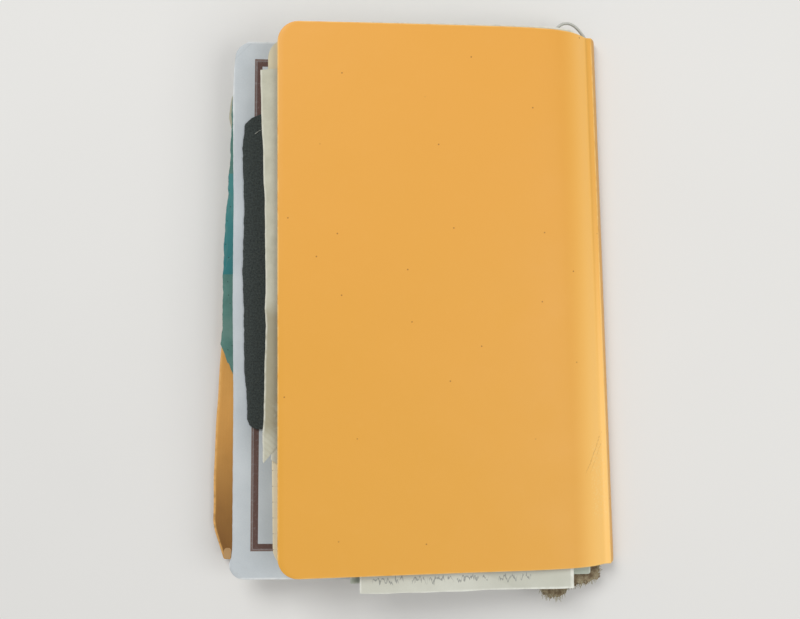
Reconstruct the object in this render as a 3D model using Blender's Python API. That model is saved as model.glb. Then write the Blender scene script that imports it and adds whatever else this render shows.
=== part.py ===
"""A pocket notebook, closed and lying on its front cover, with papers tucked between its pages.

Metres, +Z up, +Y towards the head. The origin is the centre of the front cover's outer face.
The spine is at +X and the fore-edge at -X. The spine is skewed and the papers swell the
fore-edge, so every leaf is one height over the plan, low at the spine and high at the fore-edge.
"""

import math
from typing import NamedTuple

import bmesh
import bpy
from mathutils import Matrix, Vector

NAME = "pocket_notebook"

# Covers and pages
COVER_HEIGHT = 0.210
COVER_THICK = 0.0006
CORNER_RADIUS = 0.008
BACK_FORE_X = -0.063
FRONT_FORE_X = -0.066
ENDPAPER_THICK = 0.0002
ENDPAPER_INSET = 0.002
GATHERINGS = 5
GATHERING_THICK = 0.00095
PAGE_HEAD_INSET = 0.0056
PAGE_TAIL_INSET = 0.0029
PAGE_PROUD_HEAD = 0.0044  # how far the pages stand out past the back cover at the fore-edge
PAGE_PROUD_TAIL = 0.0024

# Spine
CREASE_X = 0.0636  # where the back cover meets the spine, at the middle of the height
SPINE_SKEW = 0.0381  # how far the spine leans over to -X for each metre towards the head
SPINE_LEAN = 0.0023  # the spine's foot stands this far outside its top
SPINE_BULGE = 0.0004
LINING_THICK = 0.0004
LINING_INSET = 0.006
THREAD_DIAMETER = 0.0005
THREAD_STATIONS = 4
THREAD_SPAN = 0.150

# Clearances
LEAF_GAP = 0.0003
PASTE_GAP = 0.0002
FIT_GAP = 0.0003

# How the back cover and pages rise from the spine: a rounded shoulder, then a straight slope
SHOULDER_LENGTH = 0.008
SHOULDER_SHARE_HEAD = 0.556
SHOULDER_SHARE_TAIL = 0.275

# Room at the fore-edge that the papers take above each gathering
ENVELOPE_BULK = 0.0035
TISSUE_BULK = 0.00725
CARD_BULK = 0.00475
SHEETS_BULK = 0.00585
LETTER_BULK = 0.0030

# Kraft envelope, between the first and second gatherings
ENVELOPE_WIDTH = 0.114
ENVELOPE_HEIGHT = 0.162
ENVELOPE_THICK = 0.0014
ENVELOPE_PROUD = 0.0296
ENVELOPE_ABOVE_TAIL = 0.001
ENVELOPE_TURN = math.radians(-3.3)
ENVELOPE_CORNER = 0.002
ENVELOPE_SLANT = 0.0043  # how far its tail corner is worn back
ENVELOPE_BELLY = 0.0018  # how far its fore edge bows out

# Torn tissue and a slip of paper, between the second and third gatherings
TISSUE_THICK = 0.0008
TISSUE_PROUD = 0.0263
TISSUE_DEPTH = 0.058
TISSUE_TOP = 0.067
SLIP_THICK = 0.0003
SLIP_PROUD = 0.0225
SLIP_DEPTH = 0.045
SLIP_HEIGHT = 0.0135
SLIP_TOP = 0.0818

# Framed card and slate patch, between the third and fourth gatherings
CARD_WIDTH = 0.099
CARD_HEIGHT = 0.210
CARD_THICK = 0.0010
CARD_PROUD = 0.0210
CARD_BELOW_TAIL = 0.0035
CARD_TURN = math.radians(-0.76)
CARD_CORNER = 0.0035
PATCH_THICK = 0.0008
PATCH_PROUD = 0.0147
PATCH_DEPTH = 0.055
PATCH_TOP = 0.0725
PATCH_BOTTOM = -0.0500

# Blue sheet, between the fourth and fifth gatherings
BLUE_THICK = 0.00035
BLUE_WIDTH = 0.0950
BLUE_HEIGHT = 0.130
BLUE_FROM_FORE = 0.0268
BLUE_BELOW_TAIL = 0.0042
BLUE_LIFT = 0.60  # share of the free room that lies under the sheet

# Sage sheet and letter sheet, side by side under the back cover
SAGE_THICK = 0.0005
SAGE_WIDTH = 0.036
SAGE_HEIGHT = 0.1515
SAGE_PROUD = 0.0068
SAGE_TOP = 0.0884
SAGE_LIFT = 0.25
LETTER_THICK = 0.00035
LETTER_WIDTH = 0.083
LETTER_HEIGHT = 0.2190
LETTER_FROM_FORE = 0.0306
LETTER_BELOW_TAIL = 0.0077

# Frayed cloth, by the spine at the tail
CLOTH_THICK = 0.0005
CLOTH_WIDTH = 0.022
CLOTH_FROM_SPINE = 0.0092
CLOTH_TUCK = 0.017  # how far it reaches in between the pages
CLOTH_BELOW_TAIL = 0.0143
CLOTH_SPREAD = 0.0050  # how much wider it is outside the pages

# Bookmark cord
CORD_DIAMETER = 0.0012
CORD_POINTS = 78
CORD_SIDES = 2
ROUTE_STEPS = 12
# From the head of the spine, out in a small loop over the head, and down between the third and
# fourth gatherings to a bare end.
CORD_ROUTE = (
    (0.05953, 0.0970, 0.00500),
    (0.05945, 0.0996, 0.00505),
    (0.05890, 0.1022, 0.00545),
    (0.05760, 0.1046, 0.00625),
    (0.05590, 0.1066, 0.00740),
    (0.05400, 0.1083, 0.00870),
    (0.05200, 0.1095, 0.00980),
    (0.04980, 0.1101, 0.01060),
    (0.04760, 0.1098, 0.01100),
    (0.04580, 0.1086, 0.01115),
    (0.04450, 0.1068, 0.01115),
    (0.04370, 0.1042, 0.01110),
    (0.04320, 0.1010, 0.01115),
    (0.04250, 0.0970, 0.01122),
    (0.04160, 0.0910, 0.01132),
    (0.04090, 0.0840, 0.01138),
    (0.04060, 0.0760, 0.01136),
    (0.04080, 0.0670, 0.01126),
    (0.04130, 0.0580, 0.01114),
    (0.04160, 0.0480, 0.01104),
    (0.04220, 0.0380, 0.01092),
    (0.04250, 0.0280, 0.01082),
    (0.04320, 0.0170, 0.01068),
    (0.04340, 0.0060, 0.01058),
    (0.04410, -0.0050, 0.01040),
    (0.04430, -0.0160, 0.01032),
    (0.04490, -0.0280, 0.01015),
    (0.04510, -0.0400, 0.01004),
    (0.04570, -0.0520, 0.00988),
    (0.04580, -0.0640, 0.00980),
    (0.04620, -0.0760, 0.00968),
)

# Grid that the curved leaves are cut on
CUT_GROWTH = 1.28
CUT_STEP = 0.0015
LAST_CUT = 0.100
CUTS_ALONG = 6


LINING_DEPTH = COVER_THICK + FIT_GAP
THREAD_DEPTH = LINING_DEPTH + LINING_THICK + FIT_GAP + THREAD_DIAMETER / 2
FOLD_DEPTH = THREAD_DEPTH + THREAD_DIAMETER / 2 + FIT_GAP


class Leaf(NamedTuple):
    """The underside of one leaf: its height at the spine, and how much it rises at the fore-edge."""

    base: float
    rise: float

    def z(self, x, y):
        return self.base + self.rise * swell(x, y)

    def above(self, height):
        return Leaf(self.base + height, self.rise)


def crease_x(y):
    """X of the line where the back cover bends down into the spine."""
    return CREASE_X - SPINE_SKEW * y


def swell(x, y):
    """How far up a leaf has risen: 0 at the folds and 1 at the back cover's fore-edge."""
    share = SHOULDER_SHARE_TAIL + (SHOULDER_SHARE_HEAD - SHOULDER_SHARE_TAIL) * (y / COVER_HEIGHT + 0.5)
    fold_x = crease_x(y) - FOLD_DEPTH
    away = max(0.0, fold_x - x)
    return share * (1 - math.exp(-away / SHOULDER_LENGTH)) + (1 - share) * away / (fold_x - BACK_FORE_X)


def stack():
    """The undersides of all the bound leaves, from the front cover to the back cover."""
    bulks = (ENVELOPE_BULK, TISSUE_BULK, CARD_BULK, SHEETS_BULK, LETTER_BULK)
    leaves = {"front_cover": Leaf(0.0, 0.0)}
    leaves["front_endpaper"] = Leaf(COVER_THICK + PASTE_GAP, 0.0)
    leaf = leaves["front_endpaper"].above(ENDPAPER_THICK + PASTE_GAP)
    for number in range(1, GATHERINGS + 1):
        leaves[f"gathering_{number}"] = leaf
        gap = LEAF_GAP if number < GATHERINGS else PASTE_GAP
        leaf = Leaf(leaf.base + GATHERING_THICK + gap, leaf.rise + bulks[number - 1])
    leaves["back_endpaper"] = leaf
    leaves["back_cover"] = leaf.above(ENDPAPER_THICK + PASTE_GAP)
    return leaves


LEAVES = stack()
SPINE_HEIGHT = LEAVES["back_cover"].base
HEAD_Y = COVER_HEIGHT / 2
TAIL_Y = -COVER_HEIGHT / 2
PAGE_HEAD_Y = HEAD_Y - PAGE_HEAD_INSET
PAGE_TAIL_Y = TAIL_Y + PAGE_TAIL_INSET


def spine_x(y, z):
    """X of the spine's outer face at a height."""
    share = z / SPINE_HEIGHT
    return crease_x(y) + SPINE_LEAN * (1 - share) + SPINE_BULGE * 4 * share * (1 - share)


def page_fore_x(y):
    """X of the pages' fore-edge, which is a little askew to the covers."""
    share = (y - TAIL_Y) / COVER_HEIGHT
    return BACK_FORE_X - PAGE_PROUD_TAIL - (PAGE_PROUD_HEAD - PAGE_PROUD_TAIL) * share


def between(lower, upper, thick, lift=0.0):
    """The underside of a loose sheet in the room between two gatherings."""
    under = LEAVES[f"gathering_{lower}"].above(GATHERING_THICK)
    over = LEAVES[upper]
    base = under.base + FIT_GAP + lift * (over.base - under.base - 2 * FIT_GAP - thick)
    return Leaf(base, under.rise + lift * (over.rise - under.rise))


# ---------------------------------------------------------------- helpers


def clear_scene():
    for obj in list(bpy.data.objects):
        bpy.data.objects.remove(obj, do_unlink=True)


def linear(channel):
    """One channel of a screen colour, 0 to 255, as the linear value that a material takes."""
    value = channel / 255
    return value / 12.92 if value <= 0.04045 else ((value + 0.055) / 1.055) ** 2.4


def make_material(name, colour, roughness):
    material = bpy.data.materials.new(name)
    material.use_nodes = True
    shader = material.node_tree.nodes["Principled BSDF"]
    shader.inputs["Base Color"].default_value = (*[linear(c) for c in colour], 1)
    shader.inputs["Roughness"].default_value = roughness
    shader.inputs["Metallic"].default_value = 0.0
    return material


def add_object(name, data, collection, colour, roughness):
    obj = bpy.data.objects.new(name, data)
    collection.objects.link(obj)
    data.materials.append(make_material(name, colour, roughness))
    return obj


def leaf_cuts():
    """Distances from the folds at which a leaf is cut, close together on the shoulder."""
    cuts = [0.0]
    while cuts[-1] < LAST_CUT:
        cuts.append(cuts[-1] * CUT_GROWTH + CUT_STEP)
    return cuts


def cut_across(bm, point, normal):
    geometry = bm.verts[:] + bm.edges[:] + bm.faces[:]
    bmesh.ops.bisect_plane(bm, geom=geometry, dist=1e-6, plane_co=point, plane_no=normal)


def thicken(bm, direction):
    """Closes an open surface into a slab that is as thick as the direction is long."""
    added = bmesh.ops.extrude_face_region(bm, geom=bm.faces[:])["geom"]
    moved = [item for item in added if isinstance(item, bmesh.types.BMVert)]
    bmesh.ops.translate(bm, verts=moved, vec=direction)
    bmesh.ops.recalc_face_normals(bm, faces=bm.faces[:])


def mesh_from(bm, name):
    mesh = bpy.data.meshes.new(name)
    bm.to_mesh(mesh)
    bm.free()
    return mesh


def leaf_mesh(name, outline, leaf, thick, rounded=(), radius=CORNER_RADIUS, segments=5):
    """A sheet with this plan outline, bent to the leaf's height, as a closed slab."""
    bm = bmesh.new()
    corners = [bm.verts.new((x, y, 0)) for x, y in outline]
    bm.faces.new(corners)
    if rounded:
        picked = [corners[i] for i in rounded]
        bmesh.ops.bevel(bm, geom=picked, offset=radius, segments=segments, profile=0.5, affect="VERTICES")
    for away in leaf_cuts():
        cut_across(bm, Vector((CREASE_X - FOLD_DEPTH - away, 0, 0)), Vector((1, SPINE_SKEW, 0)))
    for step in range(1, CUTS_ALONG):
        cut_across(bm, Vector((0, TAIL_Y + COVER_HEIGHT * step / CUTS_ALONG, 0)), Vector((0, 1, 0)))
    bmesh.ops.triangulate(bm, faces=bm.faces[:], quad_method="SHORT_EDGE", ngon_method="BEAUTY")
    for vert in bm.verts:
        vert.co.z = leaf.z(vert.co.x, vert.co.y)
    thicken(bm, Vector((0, 0, thick)))
    return mesh_from(bm, name)


def box_outline(left, right, low, high):
    """A plan rectangle, from its left tail corner round to its left head corner."""
    return [(left, low), (right, low), (right, high), (left, high)]


def turned(outline, angle):
    """An outline turned about its left tail corner."""
    pivot = Vector(outline[0])
    spin = Matrix.Rotation(angle, 2)
    return [tuple(pivot + spin @ (Vector(point) - pivot)) for point in outline]


# ---------------------------------------------------------------- bound parts


COVER_LOOK = ((232, 168, 80), 0.55)
PAPER_LOOK = ((207, 198, 168), 0.9)
ENDPAPER_LOOK = ((214, 206, 180), 0.9)
FORE_CORNERS = (0, 3)


def make_front_cover(collection):
    end_low = spine_x(TAIL_Y, 0) - COVER_THICK - FIT_GAP
    end_high = spine_x(HEAD_Y, 0) - COVER_THICK - FIT_GAP
    outline = [(FRONT_FORE_X, TAIL_Y), (end_low, TAIL_Y), (end_high, HEAD_Y), (FRONT_FORE_X, HEAD_Y)]
    mesh = leaf_mesh("front_cover", outline, LEAVES["front_cover"], COVER_THICK, FORE_CORNERS)
    add_object("front_cover", mesh, collection, *COVER_LOOK)


def make_back_cover(collection):
    outline = [
        (BACK_FORE_X, TAIL_Y),
        (crease_x(TAIL_Y) - FIT_GAP, TAIL_Y),
        (crease_x(HEAD_Y) - FIT_GAP, HEAD_Y),
        (BACK_FORE_X, HEAD_Y),
    ]
    mesh = leaf_mesh("back_cover", outline, LEAVES["back_cover"], COVER_THICK, FORE_CORNERS)
    add_object("back_cover", mesh, collection, *COVER_LOOK)


def make_endpaper(collection, name, fore_x):
    """The paper pasted inside a cover, a little smaller than it all round."""
    leaf = LEAVES[name]
    low = TAIL_Y + ENDPAPER_INSET
    high = HEAD_Y - ENDPAPER_INSET
    left = fore_x + ENDPAPER_INSET
    end_low = spine_x(low, leaf.base) - FOLD_DEPTH
    end_high = spine_x(high, leaf.base) - FOLD_DEPTH
    outline = [(left, low), (end_low, low), (end_high, high), (left, high)]
    radius = CORNER_RADIUS - ENDPAPER_INSET
    mesh = leaf_mesh(name, outline, leaf, ENDPAPER_THICK, FORE_CORNERS, radius)
    add_object(name, mesh, collection, *ENDPAPER_LOOK)


def make_gathering(collection, number):
    """One folded gathering of leaves, its fold at the spine."""
    name = f"gathering_{number}"
    leaf = LEAVES[name]
    middle = leaf.base + GATHERING_THICK / 2
    outline = [
        (page_fore_x(PAGE_TAIL_Y), PAGE_TAIL_Y),
        (spine_x(PAGE_TAIL_Y, middle) - FOLD_DEPTH, PAGE_TAIL_Y),
        (spine_x(PAGE_HEAD_Y, middle) - FOLD_DEPTH, PAGE_HEAD_Y),
        (page_fore_x(PAGE_HEAD_Y), PAGE_HEAD_Y),
    ]
    mesh = leaf_mesh(name, outline, leaf, GATHERING_THICK, FORE_CORNERS)
    add_object(name, mesh, collection, *PAPER_LOOK)


def spine_strip(name, depth, thick, low_z, high_z, low_y, high_y):
    """A strip that follows the spine, its outer face this deep inside the spine's outer face."""
    bm = bmesh.new()
    bmesh.ops.create_grid(bm, x_segments=CUTS_ALONG, y_segments=6, size=0.5)
    for vert in bm.verts:
        y = low_y + (high_y - low_y) * (vert.co.x + 0.5)
        z = low_z + (high_z - low_z) * (vert.co.y + 0.5)
        vert.co = (spine_x(y, z) - depth, y, z)
    thicken(bm, Vector((-thick, 0, 0)))
    return mesh_from(bm, name)


def make_spine_cover(collection):
    top = SPINE_HEIGHT - FIT_GAP
    mesh = spine_strip("spine_cover", 0.0, COVER_THICK, FIT_GAP, top, TAIL_Y, HEAD_Y)
    add_object("spine_cover", mesh, collection, *COVER_LOOK)


def make_spine_lining(collection):
    low_z = LEAVES["gathering_1"].base
    high_z = LEAVES[f"gathering_{GATHERINGS}"].base + GATHERING_THICK
    low_y = PAGE_TAIL_Y + LINING_INSET
    high_y = PAGE_HEAD_Y - LINING_INSET / 2
    mesh = spine_strip("spine_lining", LINING_DEPTH, LINING_THICK, low_z, high_z, low_y, high_y)
    add_object("spine_lining", mesh, collection, (196, 190, 172), 0.95)


def make_tube(collection, name, points, diameter, colour):
    """A round cord or thread through the points, with closed ends."""
    curve = bpy.data.curves.new(name, "CURVE")
    curve.dimensions = "3D"
    curve.bevel_depth = diameter / 2
    curve.bevel_resolution = CORD_SIDES
    curve.use_fill_caps = True
    spline = curve.splines.new("POLY")
    spline.points.add(len(points) - 1)
    for spot, point in zip(spline.points, points):
        spot.co = (*point, 1)
    return add_object(name, curve, collection, colour, 0.85)


def make_sewing_threads(collection):
    """The stitches that tie the gatherings together, each in its own place along the spine."""
    low_z = LEAVES["gathering_1"].base + GATHERING_THICK / 2
    high_z = LEAVES[f"gathering_{GATHERINGS}"].base + GATHERING_THICK / 2
    for station in range(THREAD_STATIONS):
        y = THREAD_SPAN * (station / (THREAD_STATIONS - 1) - 0.5)
        heights = [low_z + (high_z - low_z) * step / GATHERINGS for step in range(GATHERINGS + 1)]
        points = [(spine_x(y, z) - THREAD_DEPTH, y, z) for z in heights]
        make_tube(collection, f"sewing_thread_{station + 1}", points, THREAD_DIAMETER, (228, 222, 205))


def smooth_route(points, count):
    """This many points, evenly spaced, on a smooth curve through the route's own points."""
    spots = [Vector(point) for point in points]
    spots = [2 * spots[0] - spots[1], *spots, 2 * spots[-1] - spots[-2]]
    fine = []
    for before, start, end, after in zip(spots, spots[1:], spots[2:], spots[3:]):
        for step in range(ROUTE_STEPS):
            t = step / ROUTE_STEPS
            bend = 2 * before - 5 * start + 4 * end - after
            twist = 3 * start - before - 3 * end + after
            fine.append((2 * start + (end - before) * t + bend * t * t + twist * t**3) / 2)
    fine.append(spots[-2])
    lengths = [0.0]
    for start, end in zip(fine, fine[1:]):
        lengths.append(lengths[-1] + (end - start).length)
    even = []
    index = 0
    for number in range(count):
        wanted = lengths[-1] * number / (count - 1)
        while index < len(fine) - 2 and lengths[index + 1] < wanted:
            index += 1
        share = (wanted - lengths[index]) / (lengths[index + 1] - lengths[index])
        even.append(fine[index].lerp(fine[index + 1], share))
    return even


def make_bookmark_cord(collection):
    route = smooth_route(CORD_ROUTE, CORD_POINTS)
    make_tube(collection, "bookmark_cord", route, CORD_DIAMETER, (226, 224, 214))


# ---------------------------------------------------------------- loose papers


def make_kraft_envelope(collection):
    """Its fore edge bows out, and its tail corner there is worn to a slant."""
    left = BACK_FORE_X - ENVELOPE_PROUD
    right = left + ENVELOPE_WIDTH
    low = TAIL_Y + ENVELOPE_ABOVE_TAIL
    high = low + ENVELOPE_HEIGHT
    outline = [
        (left, low),
        (right, low),
        (right, high),
        (left, high),
        (left - ENVELOPE_BELLY / 2, low + ENVELOPE_HEIGHT * 0.52),
        (left - ENVELOPE_BELLY, low + ENVELOPE_HEIGHT * 0.35),
        (left - ENVELOPE_BELLY / 2, low + ENVELOPE_HEIGHT * 0.12),
    ]
    outline = turned(outline, ENVELOPE_TURN)
    slant = Vector(outline[0]) + Vector((ENVELOPE_SLANT, 0))
    outline[0] = tuple(slant)
    leaf = between(1, "gathering_2", ENVELOPE_THICK)
    mesh = leaf_mesh("kraft_envelope", outline, leaf, ENVELOPE_THICK, (1, 2, 3), ENVELOPE_CORNER, 2)
    add_object("kraft_envelope", mesh, collection, (168, 118, 58), 0.8)


def make_teal_tissue(collection):
    """A torn piece: its outer edge runs out to a point near its lower end."""
    left = BACK_FORE_X - TISSUE_PROUD
    right = left + TISSUE_DEPTH
    outline = [
        (left + 0.0036, TISSUE_TOP - 0.096),
        (left + 0.0068, TISSUE_TOP - 0.106),
        (right - 0.006, TISSUE_TOP - 0.096),
        (right, TISSUE_TOP - 0.045),
        (right - 0.008, TISSUE_TOP - 0.004),
        (left + 0.0046, TISSUE_TOP),
        (left + 0.0037, TISSUE_TOP - 0.018),
        (left + 0.0031, TISSUE_TOP - 0.034),
        (left + 0.0014, TISSUE_TOP - 0.056),
        (left + 0.0008, TISSUE_TOP - 0.074),
        (left, TISSUE_TOP - 0.087),
    ]
    mesh = leaf_mesh("teal_tissue", outline, between(2, "gathering_3", TISSUE_THICK), TISSUE_THICK)
    add_object("teal_tissue", mesh, collection, (70, 118, 114), 0.9)


def make_beige_slip(collection):
    left = BACK_FORE_X - SLIP_PROUD
    outline = box_outline(left, left + SLIP_DEPTH, SLIP_TOP - SLIP_HEIGHT, SLIP_TOP)
    mesh = leaf_mesh("beige_slip", outline, between(2, "gathering_3", SLIP_THICK), SLIP_THICK)
    add_object("beige_slip", mesh, collection, (159, 161, 145), 0.9)


def card_leaf():
    return between(3, "gathering_4", CARD_THICK)


def make_framed_card(collection):
    left = BACK_FORE_X - CARD_PROUD
    low = TAIL_Y - CARD_BELOW_TAIL
    outline = turned(box_outline(left, left + CARD_WIDTH, low, low + CARD_HEIGHT), CARD_TURN)
    mesh = leaf_mesh("framed_card", outline, card_leaf(), CARD_THICK, (0, 3), CARD_CORNER, 3)
    add_object("framed_card", mesh, collection, (196, 200, 202), 0.7)


def make_slate_patch(collection):
    left = BACK_FORE_X - PATCH_PROUD
    right = left + PATCH_DEPTH
    outline = [
        (left + 0.0010, PATCH_BOTTOM + 0.012),
        (left + 0.0075, PATCH_BOTTOM),
        (right, PATCH_BOTTOM),
        (right, PATCH_TOP),
        (left + 0.0068, PATCH_TOP),
        (left + 0.0007, PATCH_TOP - 0.004),
        (left, PATCH_TOP - 0.016),
    ]
    leaf = card_leaf().above(CARD_THICK + FIT_GAP)
    mesh = leaf_mesh("slate_patch", outline, leaf, PATCH_THICK)
    add_object("slate_patch", mesh, collection, (57, 62, 60), 0.9)


def make_sage_sheet(collection):
    left = BACK_FORE_X - SAGE_PROUD
    outline = box_outline(left, left + SAGE_WIDTH, SAGE_TOP - SAGE_HEIGHT, SAGE_TOP)
    leaf = between(GATHERINGS, "back_endpaper", SAGE_THICK, SAGE_LIFT)
    mesh = leaf_mesh("sage_sheet", outline, leaf, SAGE_THICK, (0,), 0.004, 1)
    add_object("sage_sheet", mesh, collection, (182, 181, 163), 0.9)


def make_blue_sheet(collection):
    left = BACK_FORE_X + BLUE_FROM_FORE
    low = TAIL_Y - BLUE_BELOW_TAIL
    outline = box_outline(left, left + BLUE_WIDTH, low, low + BLUE_HEIGHT)
    leaf = between(4, "gathering_5", BLUE_THICK, BLUE_LIFT)
    mesh = leaf_mesh("blue_sheet", outline, leaf, BLUE_THICK)
    add_object("blue_sheet", mesh, collection, (187, 196, 181), 0.9)


def make_letter_sheet(collection):
    left = BACK_FORE_X + LETTER_FROM_FORE
    low = TAIL_Y - LETTER_BELOW_TAIL
    outline = box_outline(left, left + LETTER_WIDTH, low, low + LETTER_HEIGHT)
    leaf = between(GATHERINGS, "back_endpaper", LETTER_THICK)
    mesh = leaf_mesh("letter_sheet", outline, leaf, LETTER_THICK)
    add_object("letter_sheet", mesh, collection, (203, 203, 189), 0.9)


def make_frayed_cloth(collection):
    """Narrow between the pages and wider outside them, with a ragged lower edge."""
    right = crease_x(TAIL_Y) - CLOTH_FROM_SPINE
    left = right - CLOTH_WIDTH
    low = TAIL_Y - CLOTH_BELOW_TAIL
    outside = PAGE_TAIL_Y - FIT_GAP
    outline = [
        (left, low + 0.008),
        (left + 0.004, low + 0.001),
        (left + 0.010, low),
        (left + 0.015, low + 0.005),
        (right + CLOTH_SPREAD - 0.003, low + 0.006),
        (right + CLOTH_SPREAD, low + 0.009),
        (right + CLOTH_SPREAD, outside - 0.001),
        (right, outside),
        (right, PAGE_TAIL_Y + CLOTH_TUCK),
        (left, PAGE_TAIL_Y + CLOTH_TUCK),
    ]
    mesh = leaf_mesh("frayed_cloth", outline, between(3, "gathering_4", CLOTH_THICK), CLOTH_THICK)
    add_object("frayed_cloth", mesh, collection, (120, 104, 78), 0.95)


# ---------------------------------------------------------------- build


def main():
    clear_scene()
    collection = bpy.data.collections.new(NAME)
    bpy.context.scene.collection.children.link(collection)
    make_front_cover(collection)
    make_spine_cover(collection)
    make_back_cover(collection)
    make_endpaper(collection, "front_endpaper", FRONT_FORE_X)
    make_endpaper(collection, "back_endpaper", BACK_FORE_X)
    make_spine_lining(collection)
    for number in range(1, GATHERINGS + 1):
        make_gathering(collection, number)
    make_sewing_threads(collection)
    make_bookmark_cord(collection)
    make_kraft_envelope(collection)
    make_teal_tissue(collection)
    make_beige_slip(collection)
    make_framed_card(collection)
    make_slate_patch(collection)
    make_sage_sheet(collection)
    make_blue_sheet(collection)
    make_letter_sheet(collection)
    make_frayed_cloth(collection)


main()
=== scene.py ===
"""The look of a closed softcover notebook: its skin, fanned pages, cord and tucked-in papers.

Lengths are in metres, +Z up, +Y towards the head. The spine is at +X and the fore-edge at -X.
Texture maps are in millimetres on the flat sheet, so that a pattern keeps its real scale.
"""

import logging
import math
from dataclasses import dataclass
from enum import Enum
from typing import Callable, Iterable, Sequence

import bmesh
import bpy
import numpy as np
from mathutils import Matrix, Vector


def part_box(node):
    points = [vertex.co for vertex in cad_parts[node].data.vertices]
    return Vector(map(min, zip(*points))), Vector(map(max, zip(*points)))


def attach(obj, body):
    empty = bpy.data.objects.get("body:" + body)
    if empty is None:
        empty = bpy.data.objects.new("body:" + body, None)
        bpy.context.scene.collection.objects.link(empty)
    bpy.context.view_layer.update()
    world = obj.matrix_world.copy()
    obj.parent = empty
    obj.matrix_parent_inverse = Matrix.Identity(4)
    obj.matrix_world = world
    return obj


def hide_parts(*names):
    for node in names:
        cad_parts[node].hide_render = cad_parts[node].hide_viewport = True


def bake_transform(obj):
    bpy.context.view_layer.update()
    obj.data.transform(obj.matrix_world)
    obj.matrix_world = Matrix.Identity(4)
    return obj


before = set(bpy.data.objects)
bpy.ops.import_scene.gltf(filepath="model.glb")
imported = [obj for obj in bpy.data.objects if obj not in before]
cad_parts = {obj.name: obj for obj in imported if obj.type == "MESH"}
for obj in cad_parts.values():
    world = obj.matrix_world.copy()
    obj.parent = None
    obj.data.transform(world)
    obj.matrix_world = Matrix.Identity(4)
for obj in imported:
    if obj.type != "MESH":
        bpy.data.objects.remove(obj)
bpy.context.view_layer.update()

LOG = logging.getLogger("notebook")
MM = 0.001
FLAT_MAP = "flat"
TINY = 1e-12  # keeps a zero length from being divided by
CORNER_STEPS = 9  # rows of a grid round a rounded corner
CROWD = 1.7  # how much closer together columns are near the spine
END_FADE = 6  # how fast an end's shape fades along a sheet
SHARP_ANGLE = math.radians(48)  # a rim that turns more than this shades as an edge
RIM_STEPS = 6  # flats round a cover's rounded edge
BEND_ROOM = 0.0015  # a cover's flat part ends this far before the crease

Array = np.ndarray
Colour = tuple[float, float, float]
Curve = Callable[[Array], Array]


# ---------------------------------------------------------------- shapes


@dataclass(frozen=True)
class Book:
    """The proportions that every leaf follows.

    Attributes:
        crease_x: X of the crease between back cover and spine, at mid height.
        skew: How far the spine leans to -X for each metre towards the head.
        fold_depth: From the crease in to where the leaves start to rise.
        shoulder: Length over which the leaves turn up from the folds.
        share_tail: Part of the rise that the shoulder takes, at the tail.
        share_head: The same at the head.
        lean: The spine's foot stands this far outside its top.
        bulge: How far the spine rounds out.
    """

    crease_x: float = 0.0636
    skew: float = 0.0381
    fold_depth: float = 0.00255
    shoulder: float = 0.008
    share_tail: float = 0.275
    share_head: float = 0.556
    lean: float = 0.0023
    bulge: float = 0.0004

    @property
    def low(self) -> float:
        """Y of the covers' tail edge."""
        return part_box("back_cover")[0].y

    @property
    def high(self) -> float:
        """Y of the covers' head edge."""
        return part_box("back_cover")[1].y

    @property
    def fore_x(self) -> float:
        """X of the back cover's fore-edge."""
        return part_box("back_cover")[0].x

    @property
    def spine_height(self) -> float:
        """Height of the back cover's underside at the spine."""
        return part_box("back_cover")[0].z

    def crease(self, y: Array) -> Array:
        """X of the crease at a height along the spine."""
        return self.crease_x - self.skew * y

    def swell(self, x: Array, y: Array, soften: float = 0.0) -> Array:
        """How far a leaf has risen: 0 at the folds and 1 at the back cover's fore-edge.

        Args:
            x: Plan X.
            y: Plan Y.
            soften: Length over which the start of the rise is rounded.

        Returns:
            The share of the leaf's full rise.
        """
        part = (self.share_head - self.share_tail) * (y - self.low) / (self.high - self.low)
        share = self.share_tail + part
        fold = self.crease(y) - self.fold_depth
        away = np.maximum(0.0, fold - x)
        if soften:
            away = soften * np.logaddexp(0.0, (fold - x) / soften)
        straight = (1 - share) * away / (fold - self.fore_x)
        return share * (1 - np.exp(-away / self.shoulder)) + straight

    def spine(self, y: Array, z: Array) -> Array:
        """X of the spine's outer face at a height."""
        part = z / self.spine_height
        return self.crease(y) + self.lean * (1 - part) + self.bulge * 4 * part * (1 - part)


BOOK = Book()


@dataclass(frozen=True)
class Leaf:
    """Where a sheet lies: its underside at the folds, its rise at the fore-edge and its thickness."""

    base: float
    rise: float
    thick: float

    @classmethod
    def of(cls, node: str) -> "Leaf":
        """Reads a leaf from the frame.

        Args:
            node: The frame's node.

        Returns:
            The leaf that the node's underside follows.
        """
        spots = np.array([v.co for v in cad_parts[node].data.vertices])
        _, index = np.unique(np.round(spots[:, :2], 6), axis=0, return_inverse=True)
        index = index.reshape(-1)
        low = np.full(index.max() + 1, np.inf)
        high = np.full(index.max() + 1, -np.inf)
        np.minimum.at(low, index, spots[:, 2])
        np.maximum.at(high, index, spots[:, 2])
        plan = np.zeros((len(low), 2))
        plan[index] = spots[:, :2]
        swell = BOOK.swell(plan[:, 0], plan[:, 1])
        fit = np.linalg.lstsq(np.stack([np.ones_like(swell), swell], 1), low, rcond=None)[0]
        return cls(float(fit[0]), float(fit[1]), float(np.median(high - low)))

    def z(self, x: Array, y: Array) -> Array:
        """Height of the underside over the plan."""
        return self.base + self.rise * BOOK.swell(x, y)


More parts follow.
